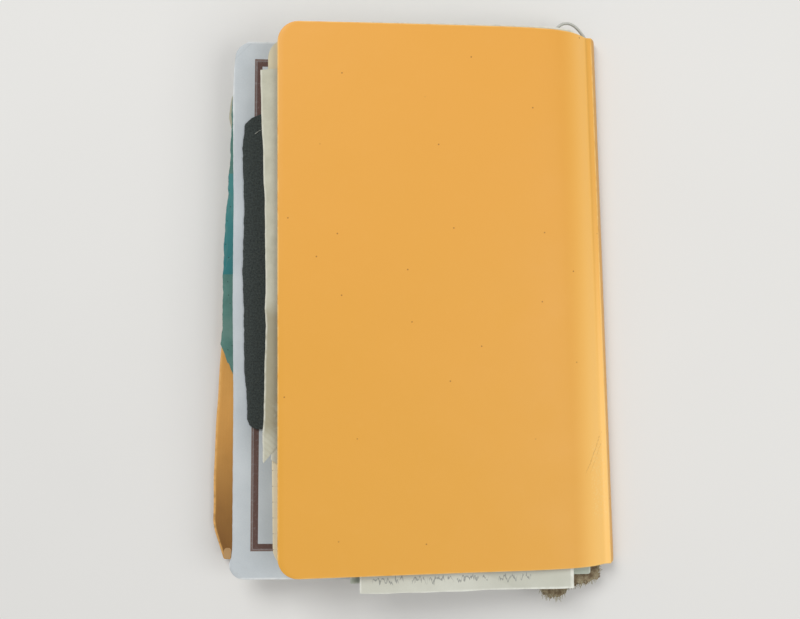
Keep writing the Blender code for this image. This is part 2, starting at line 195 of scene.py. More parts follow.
@dataclass(frozen=True)
class Wave:
    """A smooth irregular wave, along an edge or over a sheet.

    Attributes:
        seed: Picks the wave.
        height: About how far it goes each way.
        length: The longest wavelength.
        octaves: How many times finer waves are added.
        gain: How much lower each finer wave is.
    """

    seed: int
    height: float
    length: float
    octaves: int = 3
    gain: float = 0.55

    def __call__(self, x: Array, y: Array) -> Array:
        """Value of the wave at plan points."""
        draw = np.random.default_rng(self.seed)
        total = np.zeros(np.broadcast(x, y).shape)
        size, length = self.height, self.length
        for _ in range(self.octaves):
            for _ in range(3):
                turn, phase = draw.uniform(0, math.tau, 2)
                across = math.tau / (length * draw.uniform(0.7, 1.3))
                total = total + size / 2 * np.sin(across * (x * math.cos(turn) + y * math.sin(turn)) + phase)
            size, length = size * self.gain, length / 2
        return total

    def along(self, distance: Array) -> Array:
        """Value along one line, where direction plays no part."""
        draw = np.random.default_rng(self.seed)
        total = np.zeros(np.shape(distance))
        size, length = self.height, self.length
        for _ in range(self.octaves):
            for _ in range(3):
                across = math.tau / (length * draw.uniform(0.7, 1.3))
                total = total + size / 2 * np.sin(across * distance + draw.uniform(0, math.tau))
            size, length = size * self.gain, length / 2
        return total


def bent(points: Sequence[tuple[float, float]], fine: Wave | None = None) -> Curve:
    """A line through a few points, made uneven by a fine wave where one is given.

    Args:
        points: Where the line bends, as (along, value) pairs.
        fine: The wave.

    Returns:
        The value at a distance along.
    """
    along, value = np.array(sorted(points)).T
    if fine is None:
        return lambda spot: np.interp(spot, along, value)
    return lambda spot: np.interp(spot, along, value) + fine.along(spot)


class Corner(Enum):
    """A sheet's corners, in the order in which their radii are given."""

    FORE_TAIL = 0
    SPINE_TAIL = 1
    SPINE_HEAD = 2
    FORE_HEAD = 3


@dataclass(frozen=True)
class Cut:
    """A sheet's outline before it is laid in the book, with its origin at its fore tail corner.

    Attributes:
        width: Along X.
        height: Along Y.
        radii: Corner radii, in Corner's order.
        fore: How far the fore edge stands in, along Y.
        spine: How far the spine edge stands out, along Y.
        tail: How far the tail edge stands up, along X.
        head: How far the head edge stands up, along X.
        crowd: Over 1 puts more columns near the spine edge.
    """

    width: float
    height: float
    radii: tuple[float, float, float, float] = (0.0, 0.0, 0.0, 0.0)
    fore: Curve = np.zeros_like
    spine: Curve = np.zeros_like
    tail: Curve = np.zeros_like
    head: Curve = np.zeros_like
    crowd: float = 1.0

    def radius(self, corner: Corner) -> float:
        """One corner's radius."""
        return self.radii[corner.value]

    def rows(self, count: int) -> Array:
        """Y of the grid's rows, closer together round the corners."""
        reach_low = max(self.radius(Corner.FORE_TAIL), self.radius(Corner.SPINE_TAIL))
        reach_high = max(self.radius(Corner.FORE_HEAD), self.radius(Corner.SPINE_HEAD))
        turn = np.linspace(0, math.pi / 2, CORNER_STEPS)[:-1]
        low = reach_low * (1 - np.cos(turn)) if reach_low else np.array([])
        high = self.height - (reach_high * (1 - np.cos(turn)) if reach_high else np.array([]))
        return np.concatenate([low, np.linspace(reach_low, self.height - reach_high, count), high[::-1]])

    def rounding(self, y: Array, low: Corner, high: Corner) -> Array:
        """How far the corners pull a side edge in at each row."""
        pulled = np.zeros_like(y)
        for radius, from_end in ((self.radius(low), y), (self.radius(high), self.height - y)):
            if radius:
                short = np.clip(radius - from_end, 0, radius)
                pulled = pulled + radius - np.sqrt(radius**2 - short**2)
        return pulled

    def grid(self, columns: int, rows: int) -> Array:
        """Plan points of the flat sheet.

        Args:
            columns: Cells across.
            rows: Cells along the straight part of the sides.

        Returns:
            An array of rows, columns and (x, y).
        """
        y = self.rows(rows)
        left = self.fore(y) + self.rounding(y, Corner.FORE_TAIL, Corner.FORE_HEAD)
        right = self.width + self.spine(y) - self.rounding(y, Corner.SPINE_TAIL, Corner.SPINE_HEAD)
        across = 1 - (1 - np.linspace(0, 1, columns)) ** self.crowd
        x = left[:, None] + (right - left)[:, None] * across
        part = (y / self.height)[:, None]
        spread = y[:, None] + self.tail(x) * (1 - part) ** END_FADE + self.head(x) * part**END_FADE
        return np.stack([x, spread], 2)


def laid(points: Array, corner: tuple[float, float], turn: float = 0.0) -> Array:
    """Flat points turned about the fore tail corner and put in the book."""
    x, y = points[..., 0], points[..., 1]
    cosine, sine = math.cos(turn), math.sin(turn)
    return np.stack([corner[0] + x * cosine - y * sine, corner[1] + x * sine + y * cosine], -1)


class Sheet:
    """Meshes of thin things, each a closed body."""

    @staticmethod
    def mesh(name: str, points: Array, faces: Sequence[Sequence[int]] | Array, flat: Array) -> bpy.types.Mesh:
        """A mesh with a flat map in millimetres.

        Args:
            name: The mesh's name.
            points: Its vertices.
            faces: Vertex numbers of each face.
            flat: Each vertex's place on the flat sheet, in metres.

        Returns:
            The mesh, smooth but for its sharp rims.
        """
        mesh = bpy.data.meshes.new(name)
        mesh.from_pydata(points.reshape(-1, 3).tolist(), [], [list(map(int, face)) for face in faces])
        layer = mesh.uv_layers.new(name=FLAT_MAP)
        corner = np.zeros(len(mesh.loops), np.int32)
        mesh.loops.foreach_get("vertex_index", corner)
        layer.uv.foreach_set("vector", (flat.reshape(-1, 2)[corner] / MM).astype(np.float32).ravel())
        mesh.polygons.foreach_set("use_smooth", np.ones(len(mesh.polygons), bool))
        mesh.set_sharp_from_angle(angle=SHARP_ANGLE)
        mesh.update()
        return mesh

    @staticmethod
    def rim(rows: int, columns: int) -> Array:
        """Numbers of the border's points, anticlockwise from above."""
        number = np.arange(rows * columns).reshape(rows, columns)
        return np.concatenate([number[0, :-1], number[:-1, -1], number[-1, :0:-1], number[:0:-1, 0]])

    @classmethod
    def parts(
        cls, over: Array, under: Array, lip: float, steps: int, flush: bool = False
    ) -> tuple[Array, Array, Array]:
        """A closed slab between two grids, with a rounded rim.

        Args:
            over: Upper points, rows by columns.
            under: Lower points.
            lip: How far the rim stands out past the grids.
            steps: Flats round the rim.
            flush: Whether the last column's edge has no lip, because another piece goes on from it.

        Returns:
            The points, the faces and, for each point, the number of the grid point it belongs to.
        """
        rows, columns = over.shape[:2]
        count = rows * columns
        number = np.arange(count).reshape(rows, columns)
        a, b = number[:-1, :-1].ravel(), number[:-1, 1:].ravel()
        c, d = number[1:, 1:].ravel(), number[1:, :-1].ravel()
        faces = [np.stack([a, b, c, d], 1), np.stack([d, c, b, a], 1) + count]
        border = cls.rim(rows, columns)
        top, bottom = over.reshape(-1, 3)[border], under.reshape(-1, 3)[border]
        middle, half = (top + bottom) / 2, (top - bottom) / 2
        along = np.roll(middle, -1, 0) - np.roll(middle, 1, 0)
        out = np.cross(along, half)
        out /= np.linalg.norm(out, axis=1, keepdims=True) + TINY
        if flush:
            out[border % columns == columns - 1] = 0.0
        points = [over.reshape(-1, 3), under.reshape(-1, 3)]
        owner = [number.ravel(), number.ravel()]
        rings = [border]
        for step in range(1, steps):
            turn = math.pi / 2 - math.pi * step / steps
            points.append(middle + half * math.sin(turn) + out * lip * math.cos(turn))
            owner.append(border)
            rings.append(2 * count + (step - 1) * len(border) + np.arange(len(border)))
        rings.append(border + count)
        for upper, lower in zip(rings, rings[1:]):
            faces.append(np.stack([lower, np.roll(lower, -1), np.roll(upper, -1), upper], 1))
        return np.concatenate(points), np.concatenate(faces), np.concatenate(owner)

    @classmethod
    def slab(
        cls,
        name: str,
        over: Array,
        under: Array,
        flat: Array,
        lip: float = 0.0,
        steps: int = 1,
        flush: bool = False,
    ) -> bpy.types.Mesh:
        """One closed slab as a mesh; see parts for what each value does."""
        points, faces, owner = cls.parts(over, under, lip, steps, flush)
        return cls.mesh(name, points, faces, flat.reshape(-1, 2)[owner])

    @classmethod
    def stack(cls, name: str, slabs: Iterable[tuple[Array, Array, Array]]) -> bpy.types.Mesh:
        """Several thin slabs, each (over, under, flat), as one mesh."""
        points, faces, flats, total = [], [], [], 0
        for over, under, flat in slabs:
            spots, corners, owner = cls.parts(over, under, 0.0, 1)
            points.append(spots)
            faces.append(corners + total)
            flats.append(flat.reshape(-1, 2)[owner])
            total += len(spots)
        return cls.mesh(name, np.concatenate(points), np.concatenate(faces), np.concatenate(flats))


class Strand:
    """Meshes of threads, hairs and cord."""

    NEAR_UP = np.array([0.01, 0.003, 1.0])  # a little off upright, so that no path runs along it
    TIP = 0.45  # a thread's radius at its end, for each unit at its root

    @classmethod
    def frames(cls, path: Array) -> tuple[Array, Array]:
        """Two directions square to a path at each of its points."""
        along = np.gradient(path, axis=0)
        along /= np.linalg.norm(along, axis=1, keepdims=True) + TINY
        side = np.cross(along, cls.NEAR_UP)
        side /= np.linalg.norm(side, axis=1, keepdims=True) + TINY
        return side, np.cross(side, along)

    @classmethod
    def tube(
        cls,
        path: Array,
        radius: Array | float,
        sides: int,
        plait: Callable[[Array, Array], Array] | None = None,
    ) -> tuple[Array, list[list[int]], Array]:
        """One tube with closed ends.

        Args:
            path: Points along its middle.
            radius: Its radius, or one for each point.
            sides: Flats round it.
            plait: Gives the change in radius at a distance along and an angle round.

        Returns:
            The points, the faces and each point's (round, along) place in metres.
        """
        side, up = cls.frames(path)
        step = np.linalg.norm(np.diff(path, axis=0), axis=1)
        length = np.concatenate([[0.0], np.cumsum(step)])
        turn = math.tau * np.arange(sides) / sides
        size = np.broadcast_to(np.asarray(radius, float), (len(path),))[:, None] * np.ones(sides)
        if plait is not None:
            size = size + plait(length[:, None], turn[None, :])
        ring = side[:, None] * np.cos(turn)[None, :, None] + up[:, None] * np.sin(turn)[None, :, None]
        points = path[:, None] + ring * size[..., None]
        faces = []
        for row in range(len(path) - 1):
            for spot in range(sides):
                after = (spot + 1) % sides
                low, high = row * sides, (row + 1) * sides
                faces.append([low + spot, high + spot, high + after, low + after])
        last = (len(path) - 1) * sides
        faces.append(list(range(sides)))
        faces.append([last + spot for spot in reversed(range(sides))])
        flat = np.stack([size * turn, np.broadcast_to(length[:, None], size.shape)], -1)
        return points.reshape(-1, 3), faces, flat.reshape(-1, 2)

    @classmethod
    def bundle(cls, name: str, paths: Iterable[Array], radius: float, sides: int = 3) -> bpy.types.Mesh:
        """Many thin tapered tubes as one mesh."""
        points, faces, flats, total = [], [], [], 0
        for path in paths:
            taper = radius * np.linspace(1.0, cls.TIP, len(path))
            spots, corners, flat = cls.tube(path, taper, sides)
            points.append(spots)
            faces.extend([[number + total for number in face] for face in corners])
            flats.append(flat)
            total += len(spots)
        return Sheet.mesh(name, np.concatenate(points), faces, np.concatenate(flats))


# ---------------------------------------------------------------- finishes


def tone(red: float, green: float, blue: float) -> Colour:
    """A screen colour, 0 to 255, as the linear values that a material takes."""
    screen = (red / 255, green / 255, blue / 255)
    linear = [c / 12.92 if c <= 0.04045 else ((c + 0.055) / 1.055) ** 2.4 for c in screen]
    return (linear[0], linear[1], linear[2])


class Flow:
    """A socket's value, on which arithmetic adds Math nodes."""

    def __init__(self, bench: "Bench", socket: bpy.types.NodeSocket) -> None:
        """Wraps a node's output socket."""
        self.bench = bench
        self.socket = socket

    def math(self, operation: str, *values: "Flow | float") -> "Flow":
        """A Math node on these values."""
        return self.bench.add("ShaderNodeMath", {"operation": operation}, dict(enumerate(values)))

    def __add__(self, other: "Flow | float") -> "Flow":
        """Sum."""
        return self.math("ADD", self, other)

    __radd__ = __add__

    def __sub__(self, other: "Flow | float") -> "Flow":
        """Difference."""
        return self.math("SUBTRACT", self, other)

    def __rsub__(self, other: float) -> "Flow":
        """Difference from a number, as in 1 - mask."""
        return self.math("SUBTRACT", other, self)

    def __mul__(self, other: "Flow | float") -> "Flow":
        """Product."""
        return self.math("MULTIPLY", self, other)

    __rmul__ = __mul__

    def __truediv__(self, other: "Flow | float") -> "Flow":
        """Quotient."""
        return self.math("DIVIDE", self, other)

    def __abs__(self) -> "Flow":
        """Size without sign."""
        return self.math("ABSOLUTE", self)

    def __mod__(self, period: float) -> "Flow":
        """Remainder, never below 0."""
        return self.math("FLOORED_MODULO", self, period)

    def least(self, other: "Flow | float") -> "Flow":
        """The smaller of two."""
        return self.math("MINIMUM", self, other)

    def most(self, other: "Flow | float") -> "Flow":
        """The larger of two."""
        return self.math("MAXIMUM", self, other)

    def sine(self) -> "Flow":
        """Sine of an angle."""
        return self.math("SINE", self)

    def ramp(self, start: float, end: float) -> "Flow":
        """0 up to start and 1 from end on, smooth between; start may be the larger."""
        values = {"Value": self, "From Min": start, "From Max": end}
        return self.bench.add("ShaderNodeMapRange", {"interpolation_type": "SMOOTHSTEP"}, values)

    def band(self, low: float, high: float, soft: float) -> "Flow":
        """1 between low and high, fading to 0 over soft on both sides."""
        return self.ramp(low - soft, low) * self.ramp(high + soft, high)


class Bench:
    """A material under construction, with its nodes."""

    def __init__(self, name: str, mapped: bool = True) -> None:
        """Starts a material.

        Args:
            name: The material's name.
            mapped: Whether its pieces have a flat map; if not, patterns lie in space.
        """
        self.material = bpy.data.materials.new(name)
        self.material.use_nodes = True
        self.tree = self.material.node_tree
        self.shader = next(n for n in self.tree.nodes if n.type == "BSDF_PRINCIPLED")
        if mapped:
            self.where = self.add("ShaderNodeUVMap", {"uv_map": FLAT_MAP}, {})
        else:
            place = self.add("ShaderNodeTexCoord", {}, {}, "Object")
            self.where = self.add("ShaderNodeVectorMath", {"operation": "SCALE"}, {0: place, "Scale": 1 / MM})

    def add(self, kind: str, settings: dict, sockets: dict, output: str | int = 0) -> Flow:
        """Adds one node of any kind.

        Args:
            kind: Blender's name for the node's type.
            settings: Set on the node first.
            sockets: Values or flows, by socket name or number.
            output: The output to return.

        Returns:
            The node's output.
        """
        node = self.tree.nodes.new(kind)
        for name, value in settings.items():
            setattr(node, name, value)
        for name, value in sockets.items():
            if isinstance(value, Flow):
                self.tree.links.new(value.socket, node.inputs[name])
            elif isinstance(value, tuple) and node.inputs[name].type == "RGBA":
                node.inputs[name].default_value = (*value, 1)
            else:
                node.inputs[name].default_value = value
        return Flow(self, node.outputs[output])

    def axes(self) -> tuple[Flow, Flow]:
        """X and Y on the flat sheet, in millimetres."""
        return (
            self.add("ShaderNodeSeparateXYZ", {}, {0: self.where}, "X"),
            self.add("ShaderNodeSeparateXYZ", {}, {0: self.where}, "Y"),
        )

    def stretched(self, x: float, y: float) -> Flow:
        """The place, scaled along each axis of the flat sheet."""
        return self.add("ShaderNodeVectorMath", {"operation": "MULTIPLY"}, {0: self.where, 1: (x, y, 1.0)})

    def noise(self, size: float, detail: float = 3.0, rough: float = 0.55, at: Flow | None = None) -> Flow:
        """Soft noise whose blotches are about this size in millimetres."""
        values = {"Vector": at or self.where, "Scale": 1 / size, "Detail": detail, "Roughness": rough}
        return self.add("ShaderNodeTexNoise", {}, values)

    def cells(self, size: float) -> Flow:
        """Distance from the nearest of many points, in cells of about this size in millimetres."""
        values = {"Vector": self.where, "Scale": 1 / size}
        return self.add("ShaderNodeTexVoronoi", {"voronoi_dimensions": "2D"}, values, "Distance")

    def mix(self, share: Flow | float, first: Flow | Colour, second: Flow | Colour) -> Flow:
        """Goes from the first colour, a flow or a screen colour, to the second as share goes from 0 to 1."""
        first, second = (tone(*colour) if isinstance(colour, tuple) else colour for colour in (first, second))
        return self.add("ShaderNodeMix", {"data_type": "RGBA"}, {0: share, 6: first, 7: second}, 2)

    def bump(self, height: Flow, depth: float, before: Flow | None = None) -> Flow:
        """Raises the surface by up to this depth in metres where height is 1."""
        values = {"Height": height, "Strength": 1.0, "Distance": depth}
        if before is not None:
            values["Normal"] = before
        return self.add("ShaderNodeBump", {}, values)

    def finish(
        self,
        colour: Flow,
        rough: Flow | float,
        normal: Flow | None = None,
        sheen: float = 0.0,
        gloss: float = 0.5,
    ) -> bpy.types.Material:
        """Links the shader and returns the material.

        Args:
            colour: Base colour.
            rough: Roughness.
            normal: The bumped normal.
            sheen: Weight of a soft fibrous sheen, alike all over.
            gloss: Specular level, alike all over.

        Returns:
            The finished material.
        """
        for name, flow in (("Base Color", colour), ("Roughness", rough), ("Normal", normal)):
            if isinstance(flow, Flow):
                self.tree.links.new(flow.socket, self.shader.inputs[name])
            elif flow is not None:
                self.shader.inputs[name].default_value = flow
        self.shader.inputs["Sheen Weight"].default_value = sheen
        self.shader.inputs["Sheen Roughness"].default_value = 0.5
        self.shader.inputs["Specular IOR Level"].default_value = gloss
        return self.material


@dataclass(frozen=True)
class CoverSkin:
    """Supple imitation leather: satin, finely grained, with specks, soft blotches, worn and chafed edges, a
    painted highlight on the shoulder and painted shade on the spine at the head.

    Places are in millimetres on the flat skin.

    Attributes:
        head: Colour at the head.
        tail: Colour at the tail.
        rubbed_and_highlight: Colour of pale blotches, worn and chafed skin, and of the painted highlight on
            the shoulder towards the tail.
        shoulder_highlight: Colour of the painted highlight on the shoulder beside the crease.
        shaded: Colour of the painted shade on the spine at the head.
        speck: Colour of specks and scratches.
        grain: Size of the pores.
        grain_depth: Depth of the pores, in metres.
        speck_spacing: Distance between specks.
        end_wear: Where wear at the head and the tail starts and is full.
        fore_wear: The same at the fore-edge.
        shoulder_rise: Where the painted highlight on the shoulder starts and is full, from the crease.
        shoulder_fall: Where it is gone and still full, past the crease.
        scratched: From and to where the long scratches run.
        chafed: From and to where the skin is chafed.
    """

    head: Colour = (232, 166, 68)
    tail: Colour = (227, 165, 62)
    rubbed_and_highlight: Colour = (250, 208, 132)
    shoulder_highlight: Colour = (255, 196, 98)
    shaded: Colour = (216, 158, 62)
    speck: Colour = (150, 96, 36)
    grain: float = 0.5
    grain_depth: float = 0.00002
    speck_spacing: float = 24.0
    end_wear: tuple[float, float] = (104.4, 104.9)
    fore_wear: tuple[float, float] = (-62.4, -62.8)
    shoulder_rise: tuple[float, float] = (-16.0, -2.0)
    shoulder_fall: tuple[float, float] = (1.5, -1.0)
    scratched: tuple[float, float] = (-66.0, -49.0)
    chafed: tuple[float, float] = (-84.0, -58.0)

    def dress(self) -> bpy.types.Material:
        """Makes the material."""
        bench = Bench("cover_skin")
        x, y = bench.axes()
        blotch = bench.noise(46, 2)
        colour = bench.mix((y / 210 + 0.5 + (blotch - 0.5) * 0.5).ramp(-0.1, 1.1), self.tail, self.head)
        colour = bench.mix((bench.noise(7, 4) - 0.5).ramp(0.0, 0.9) * 0.10, colour, self.rubbed_and_highlight)
        along_spine = x + y * BOOK.skew - BOOK.crease_x / MM
        # painted highlight: the shoulder beside the crease is painted lighter
        shoulder = along_spine.ramp(*self.shoulder_rise) * along_spine.ramp(*self.shoulder_fall)
        colour = bench.mix(shoulder, colour, self.shoulder_highlight)
        # more painted highlight, in the pale colour, on the shoulder towards the tail
        colour = bench.mix(shoulder * y.ramp(80, -80) * 0.4, colour, self.rubbed_and_highlight)
        # painted shade on the spine from just before the crease on, towards the head
        colour = bench.mix(along_spine.ramp(-3.4, -2.4) * y.ramp(-60, 60) * 0.75, colour, self.shaded)
        edge = abs(y).ramp(*self.end_wear).most(x.ramp(*self.fore_wear))
        edge = edge.most(along_spine.band(-0.5, 0.3, 0.3) * 0.8)
        worn = edge * bench.noise(5, 3).ramp(0.25, 0.6)
        colour = bench.mix(worn * 0.7, colour, self.rubbed_and_highlight)
        wander = (bench.noise(4, 3) - 0.5) * 1.6
        slant = along_spine + 9.0 - (y - self.scratched[0]) * 0.5 + wander
        scratch = abs(slant).ramp(0.30, 0.05).most(abs(slant - 1.9).ramp(0.25, 0.05) * 0.6)
        scratch = scratch * y.band(*self.scratched, 3)
        chafed = bench.cells(1.3).ramp(0.36, 0.16) * along_spine.band(-7, -1.5, 1) * y.band(*self.chafed, 4)
        colour = bench.mix(chafed * 0.45, colour, self.rubbed_and_highlight)
        scratch = scratch * bench.noise(1.2, 3).ramp(0.30, 0.62) * along_spine.ramp(-1.4, -3.0)
        colour = bench.mix(scratch * 0.4, colour, self.speck)
        dots = bench.cells(self.speck_spacing).ramp(0.017, 0.008) * bench.noise(31, 1).ramp(0.44, 0.54)
        colour = bench.mix(dots * 0.75, colour, self.speck)
        pores = bench.cells(self.grain) * 0.6 + bench.noise(0.3, 3) * 0.5
        rough = 0.46 + (bench.noise(18, 3) - 0.5) * 0.16 + worn * 0.1
        normal = bench.bump(pores, self.grain_depth, bench.bump(bench.noise(9, 2), 0.00008))
        return bench.finish(colour, rough, normal, gloss=0.4)


@dataclass(frozen=True)
class Paper:
    """A sheet of paper, with fibres, soft mottling, a cockled surface and its own colour along the edges.

    Attributes:
        name: The material's name.
        pale: Its paler colour.
        dark: Its darker colour.
        rim: Colour within about a millimetre of its edges; on the kraft it is a painted highlight.
        size: Width and height in millimetres, for the edges; None where they don't show.
        blotch: Size of the mottling in millimetres.
        cockle: Depth of the cockling in metres.
        rough: Roughness.
    """

    name: str
    pale: Colour
    dark: Colour
    rim: Colour
    size: tuple[float, float] | None = None
    blotch: float = 16.0
    cockle: float = 0.0001
    rough: float = 0.85

    def marks(self, bench: Bench, colour: Flow, x: Flow, y: Flow) -> Flow:
        """Adds what is printed, drawn or spilt on the sheet; plain paper has nothing."""
        return colour

    def relief(self, bench: Bench, x: Flow, y: Flow) -> Flow:
        """Fine height of the surface, 0 to 1."""
        return bench.noise(0.35, 4, 0.7)

    def dress(self) -> bpy.types.Material:
        """Makes the material."""
        bench = Bench(self.name)
        x, y = bench.axes()
        fibre = bench.noise(0.6, 5, 0.7)
        mottle = bench.noise(self.blotch, 4) * 0.75 + fibre * 0.25
        colour = bench.mix(mottle.ramp(0.3, 0.7), self.dark, self.pale)
        colour = self.marks(bench, colour, x, y)
        if self.size:
            # edge colour; on the kraft, whose rim colour is paler, this is a painted highlight
            near = x.least(self.size[0] - x).least(y.least(self.size[1] - y))
            worn = near.ramp(0.9, 0.1) * (0.35 + 0.65 * bench.noise(3, 3).ramp(0.3, 0.6))
            colour = bench.mix(worn, colour, self.rim)
        normal = bench.bump(self.relief(bench, x, y), 0.00003, bench.bump(bench.noise(11, 2), self.cockle))
        return bench.finish(colour, self.rough + (fibre - 0.5) * 0.15, normal, gloss=0.25)


@dataclass(frozen=True)
class RuledPage(Paper):
    """Writing paper with fine faint rules that end in a darker tick at the fore-edge, and painted shade
    towards the head.

    Attributes:
        rule: Colour of the rules.
        painted_head_shade: Colour of the painted shade on the page towards the head.
        step: From one rule to the next, in millimetres.
        width: Of a rule.
        tick: Length of a tick.
        ruled: From and to where the page is ruled.
    """

    rule: Colour = (128, 118, 96)
    painted_head_shade: Colour = (206, 198, 170)
    step: float = 6.0
    width: float = 0.12
    tick: float = 0.5
    ruled: tuple[float, float] = (-96.0, 90.0)

    def marks(self, bench: Bench, colour: Flow, x: Flow, y: Flow) -> Flow:
        """Draws the rules, and paints shade on the page towards the head."""
        off = abs((y + 1.5) % self.step - self.step / 2)
        on_page = y.band(*self.ruled, 0.3)
        # painted shade: the page darkens towards the head
        colour = bench.mix(y.ramp(20, 90) * 0.85, colour, self.painted_head_shade)
        tick = 0.08 + x.ramp(self.tick + 0.3, self.tick) * 0.42 + x.ramp(5, 7) * 0.5
        return bench.mix(off.ramp(self.width + 0.12, self.width) * on_page * tick, colour, self.rule)


@dataclass(frozen=True)
class PrintedCard(Paper):
    """White card with a printed frame of a wide dark band and a thin outer one, and creased corners."""

    band: Colour = (101, 78, 72)
    outer: Colour = (123, 104, 98)
    inset_fore: float = 8.4
    inset_tail: float = 11.0
    inset_head: float = 6.7
    band_width: float = 2.0
    gap: float = 0.14
    outer_width: float = 0.7

    def marks(self, bench: Bench, colour: Flow, x: Flow, y: Flow) -> Flow:
        """Prints the frame, paints shade along the crease across the fore head corner and dirties the fore
        tail corner.
        """
        width, height = self.size or (0.0, 0.0)
        inside = (x - self.inset_fore).least(width - self.inset_fore - x)
        inside = inside.least((y - self.inset_tail).least(height - self.inset_head - y))
        thin = inside.band(0.0, self.outer_width, 0.08)
        start = self.outer_width + self.gap
        thick = inside.band(start, start + self.band_width, 0.08)
        ink = bench.noise(1.2, 4).ramp(0.2, 0.5)
        colour = bench.mix(thin * (0.75 + 0.25 * ink), colour, self.outer)
        colour = bench.mix(thick * (0.85 + 0.15 * ink), colour, self.band)
        # painted shade: a darker line along the crease across the fore head corner
        corner = (x + (height - y)).band(7.2, 7.6, 0.25)
        grime = (x + y).ramp(16, 2) * bench.noise(3, 4).ramp(0.45, 0.75)
        colour = bench.mix(corner * 0.5, colour, self.dark)
        return bench.mix(grime * 0.18, colour, (128, 120, 108))


@dataclass(frozen=True)
class SageSheet(Paper):
    """Mottled sage paper with a brown stain and faint slanting ribs."""

    stain: Colour = (152, 144, 118)
    stained: tuple[float, float] = (17.0, 56.0)
    ribbed: tuple[float, float] = (4.0, 25.0)

    def marks(self, bench: Bench, colour: Flow, x: Flow, y: Flow) -> Flow:
        """Adds the stain and the ribs."""
        spilt = y.band(*self.stained, 7) * (bench.noise(6, 4) + x.ramp(9, 0) * 0.25).ramp(0.38, 0.62)
        ribs = ((x * 0.9 + y) * 2.6).sine().ramp(-0.2, 0.9) * y.band(*self.ribbed, 5)
        colour = bench.mix(spilt * 0.75, colour, self.stain)
        return bench.mix(ribs * 0.16, colour, self.stain)


@dataclass(frozen=True)
class LetterPaper(Paper):
    """Letter paper, folded and lightly marked with pencil strokes that say nothing."""

    pencil: Colour = (120, 122, 120)
    shade: Colour = (188, 189, 174)
    folds: tuple[float, float] = (73.0, 146.0)
    pitch: float = 8.4
    last_line: float = 5.2

    def marks(self, bench: Bench, colour: Flow, x: Flow, y: Flow) -> Flow:
        """Adds the tone beyond the folds and the strokes."""
        colour = bench.mix((x + y * 1.9).ramp(60, 62) * 0.35, colour, self.shade)
        creases = abs(y - self.folds[0]).ramp(0.5, 0.05).most(abs(y - self.folds[1]).ramp(0.5, 0.05))
        colour = bench.mix(creases * 0.5, colour, self.shade)
        line = abs(y % self.pitch - self.pitch / 2 + (bench.noise(2.6, 2) - 0.5) * 5.0)
        words = bench.noise(9, 1, at=bench.stretched(1.0, 0.35)).ramp(0.44, 0.50) * x.band(9, 72, 1)
        strokes = line.ramp(0.34, 0.12) * words * y.band(12, 206, 2)
        scrawl = abs(y - self.last_line - (bench.noise(1.3, 2, at=bench.stretched(1.0, 0.2)) - 0.5) * 10.0)
        last = bench.noise(8, 1, at=bench.stretched(1.0, 0.1)).ramp(0.40, 0.46) * x.band(4, 66, 1)
        last = last * bench.noise(1.7, 1, at=bench.stretched(1.0, 0.3)).ramp(0.42, 0.47)
        strokes = strokes.most(scrawl.ramp(0.75, 0.2) * last * y.band(3.0, 8.2, 0.4))
        return bench.mix(strokes * 0.7, colour, self.pencil)


@dataclass(frozen=True)
class Kraft(Paper):
    """Ribbed brown kraft with darker blotches, and painted shade that darkens it towards the tail."""

    shade_and_mottle: Colour = (142, 100, 54)
    ribs: float = 5.2

    def marks(self, bench: Bench, colour: Flow, x: Flow, y: Flow) -> Flow:
        """Adds faint ribs, darker blotches, painted shade towards the tail and a little darkening near the
        fore edge.
        """
        ribs = (x * self.ribs + bench.noise(4, 2) * 1.5).sine().ramp(-1, 1)
        colour = bench.mix(ribs * 0.025, colour, self.shade_and_mottle)
        # painted shade: darker towards the tail; the fore edge is a little darker too
        shade_and_fore_edge = y.ramp(66, 2) * 0.9 + x.ramp(5, 0) * 0.10
        return bench.mix(shade_and_fore_edge + bench.noise(14, 3).ramp(0.5, 0.8) * 0.12, colour, self.shade_and_mottle)

    def relief(self, bench: Bench, x: Flow, y: Flow) -> Flow:
        """Ribs and fibres."""
        return (x * self.ribs).sine() * 0.2 + bench.noise(0.35, 4, 0.7)


@dataclass(frozen=True)
class TealTissue(Paper):
    """Torn tissue: one saturated band with a sharp end, and paler sage-teal beyond it."""

    deep: Colour = (82, 150, 150)
    low: Colour = (58, 130, 134)
    shine: Colour = (132, 158, 148)
    fleck: Colour = (44, 62, 58)
    saturated: tuple[float, float] = (49.7, 89.7)

    def marks(self, bench: Bench, colour: Flow, x: Flow, y: Flow) -> Flow:
        """Adds the saturated band, and painted highlights on the wrinkles and in one band across the tissue.
        """
        band = y.band(*self.saturated, 0.25)
        deep = bench.mix(y.ramp(89, 52), self.deep, self.low)
        colour = bench.mix(band * (0.85 + 0.15 * bench.noise(5, 3)), colour, deep)
        # painted highlights: pale on the wrinkles and in one band across the tissue
        wrinkle_highlights = abs(bench.noise(9, 2, at=bench.stretched(1.0, 0.4)) - 0.5).ramp(0.02, 0.0)
        highlight_band = y.band(26, 30, 4) * 0.3
        colour = bench.mix((wrinkle_highlights * 0.16).most(highlight_band), colour, self.shine)
        return bench.mix(bench.cells(5.0).ramp(0.06, 0.03) * 0.7, colour, self.fleck)


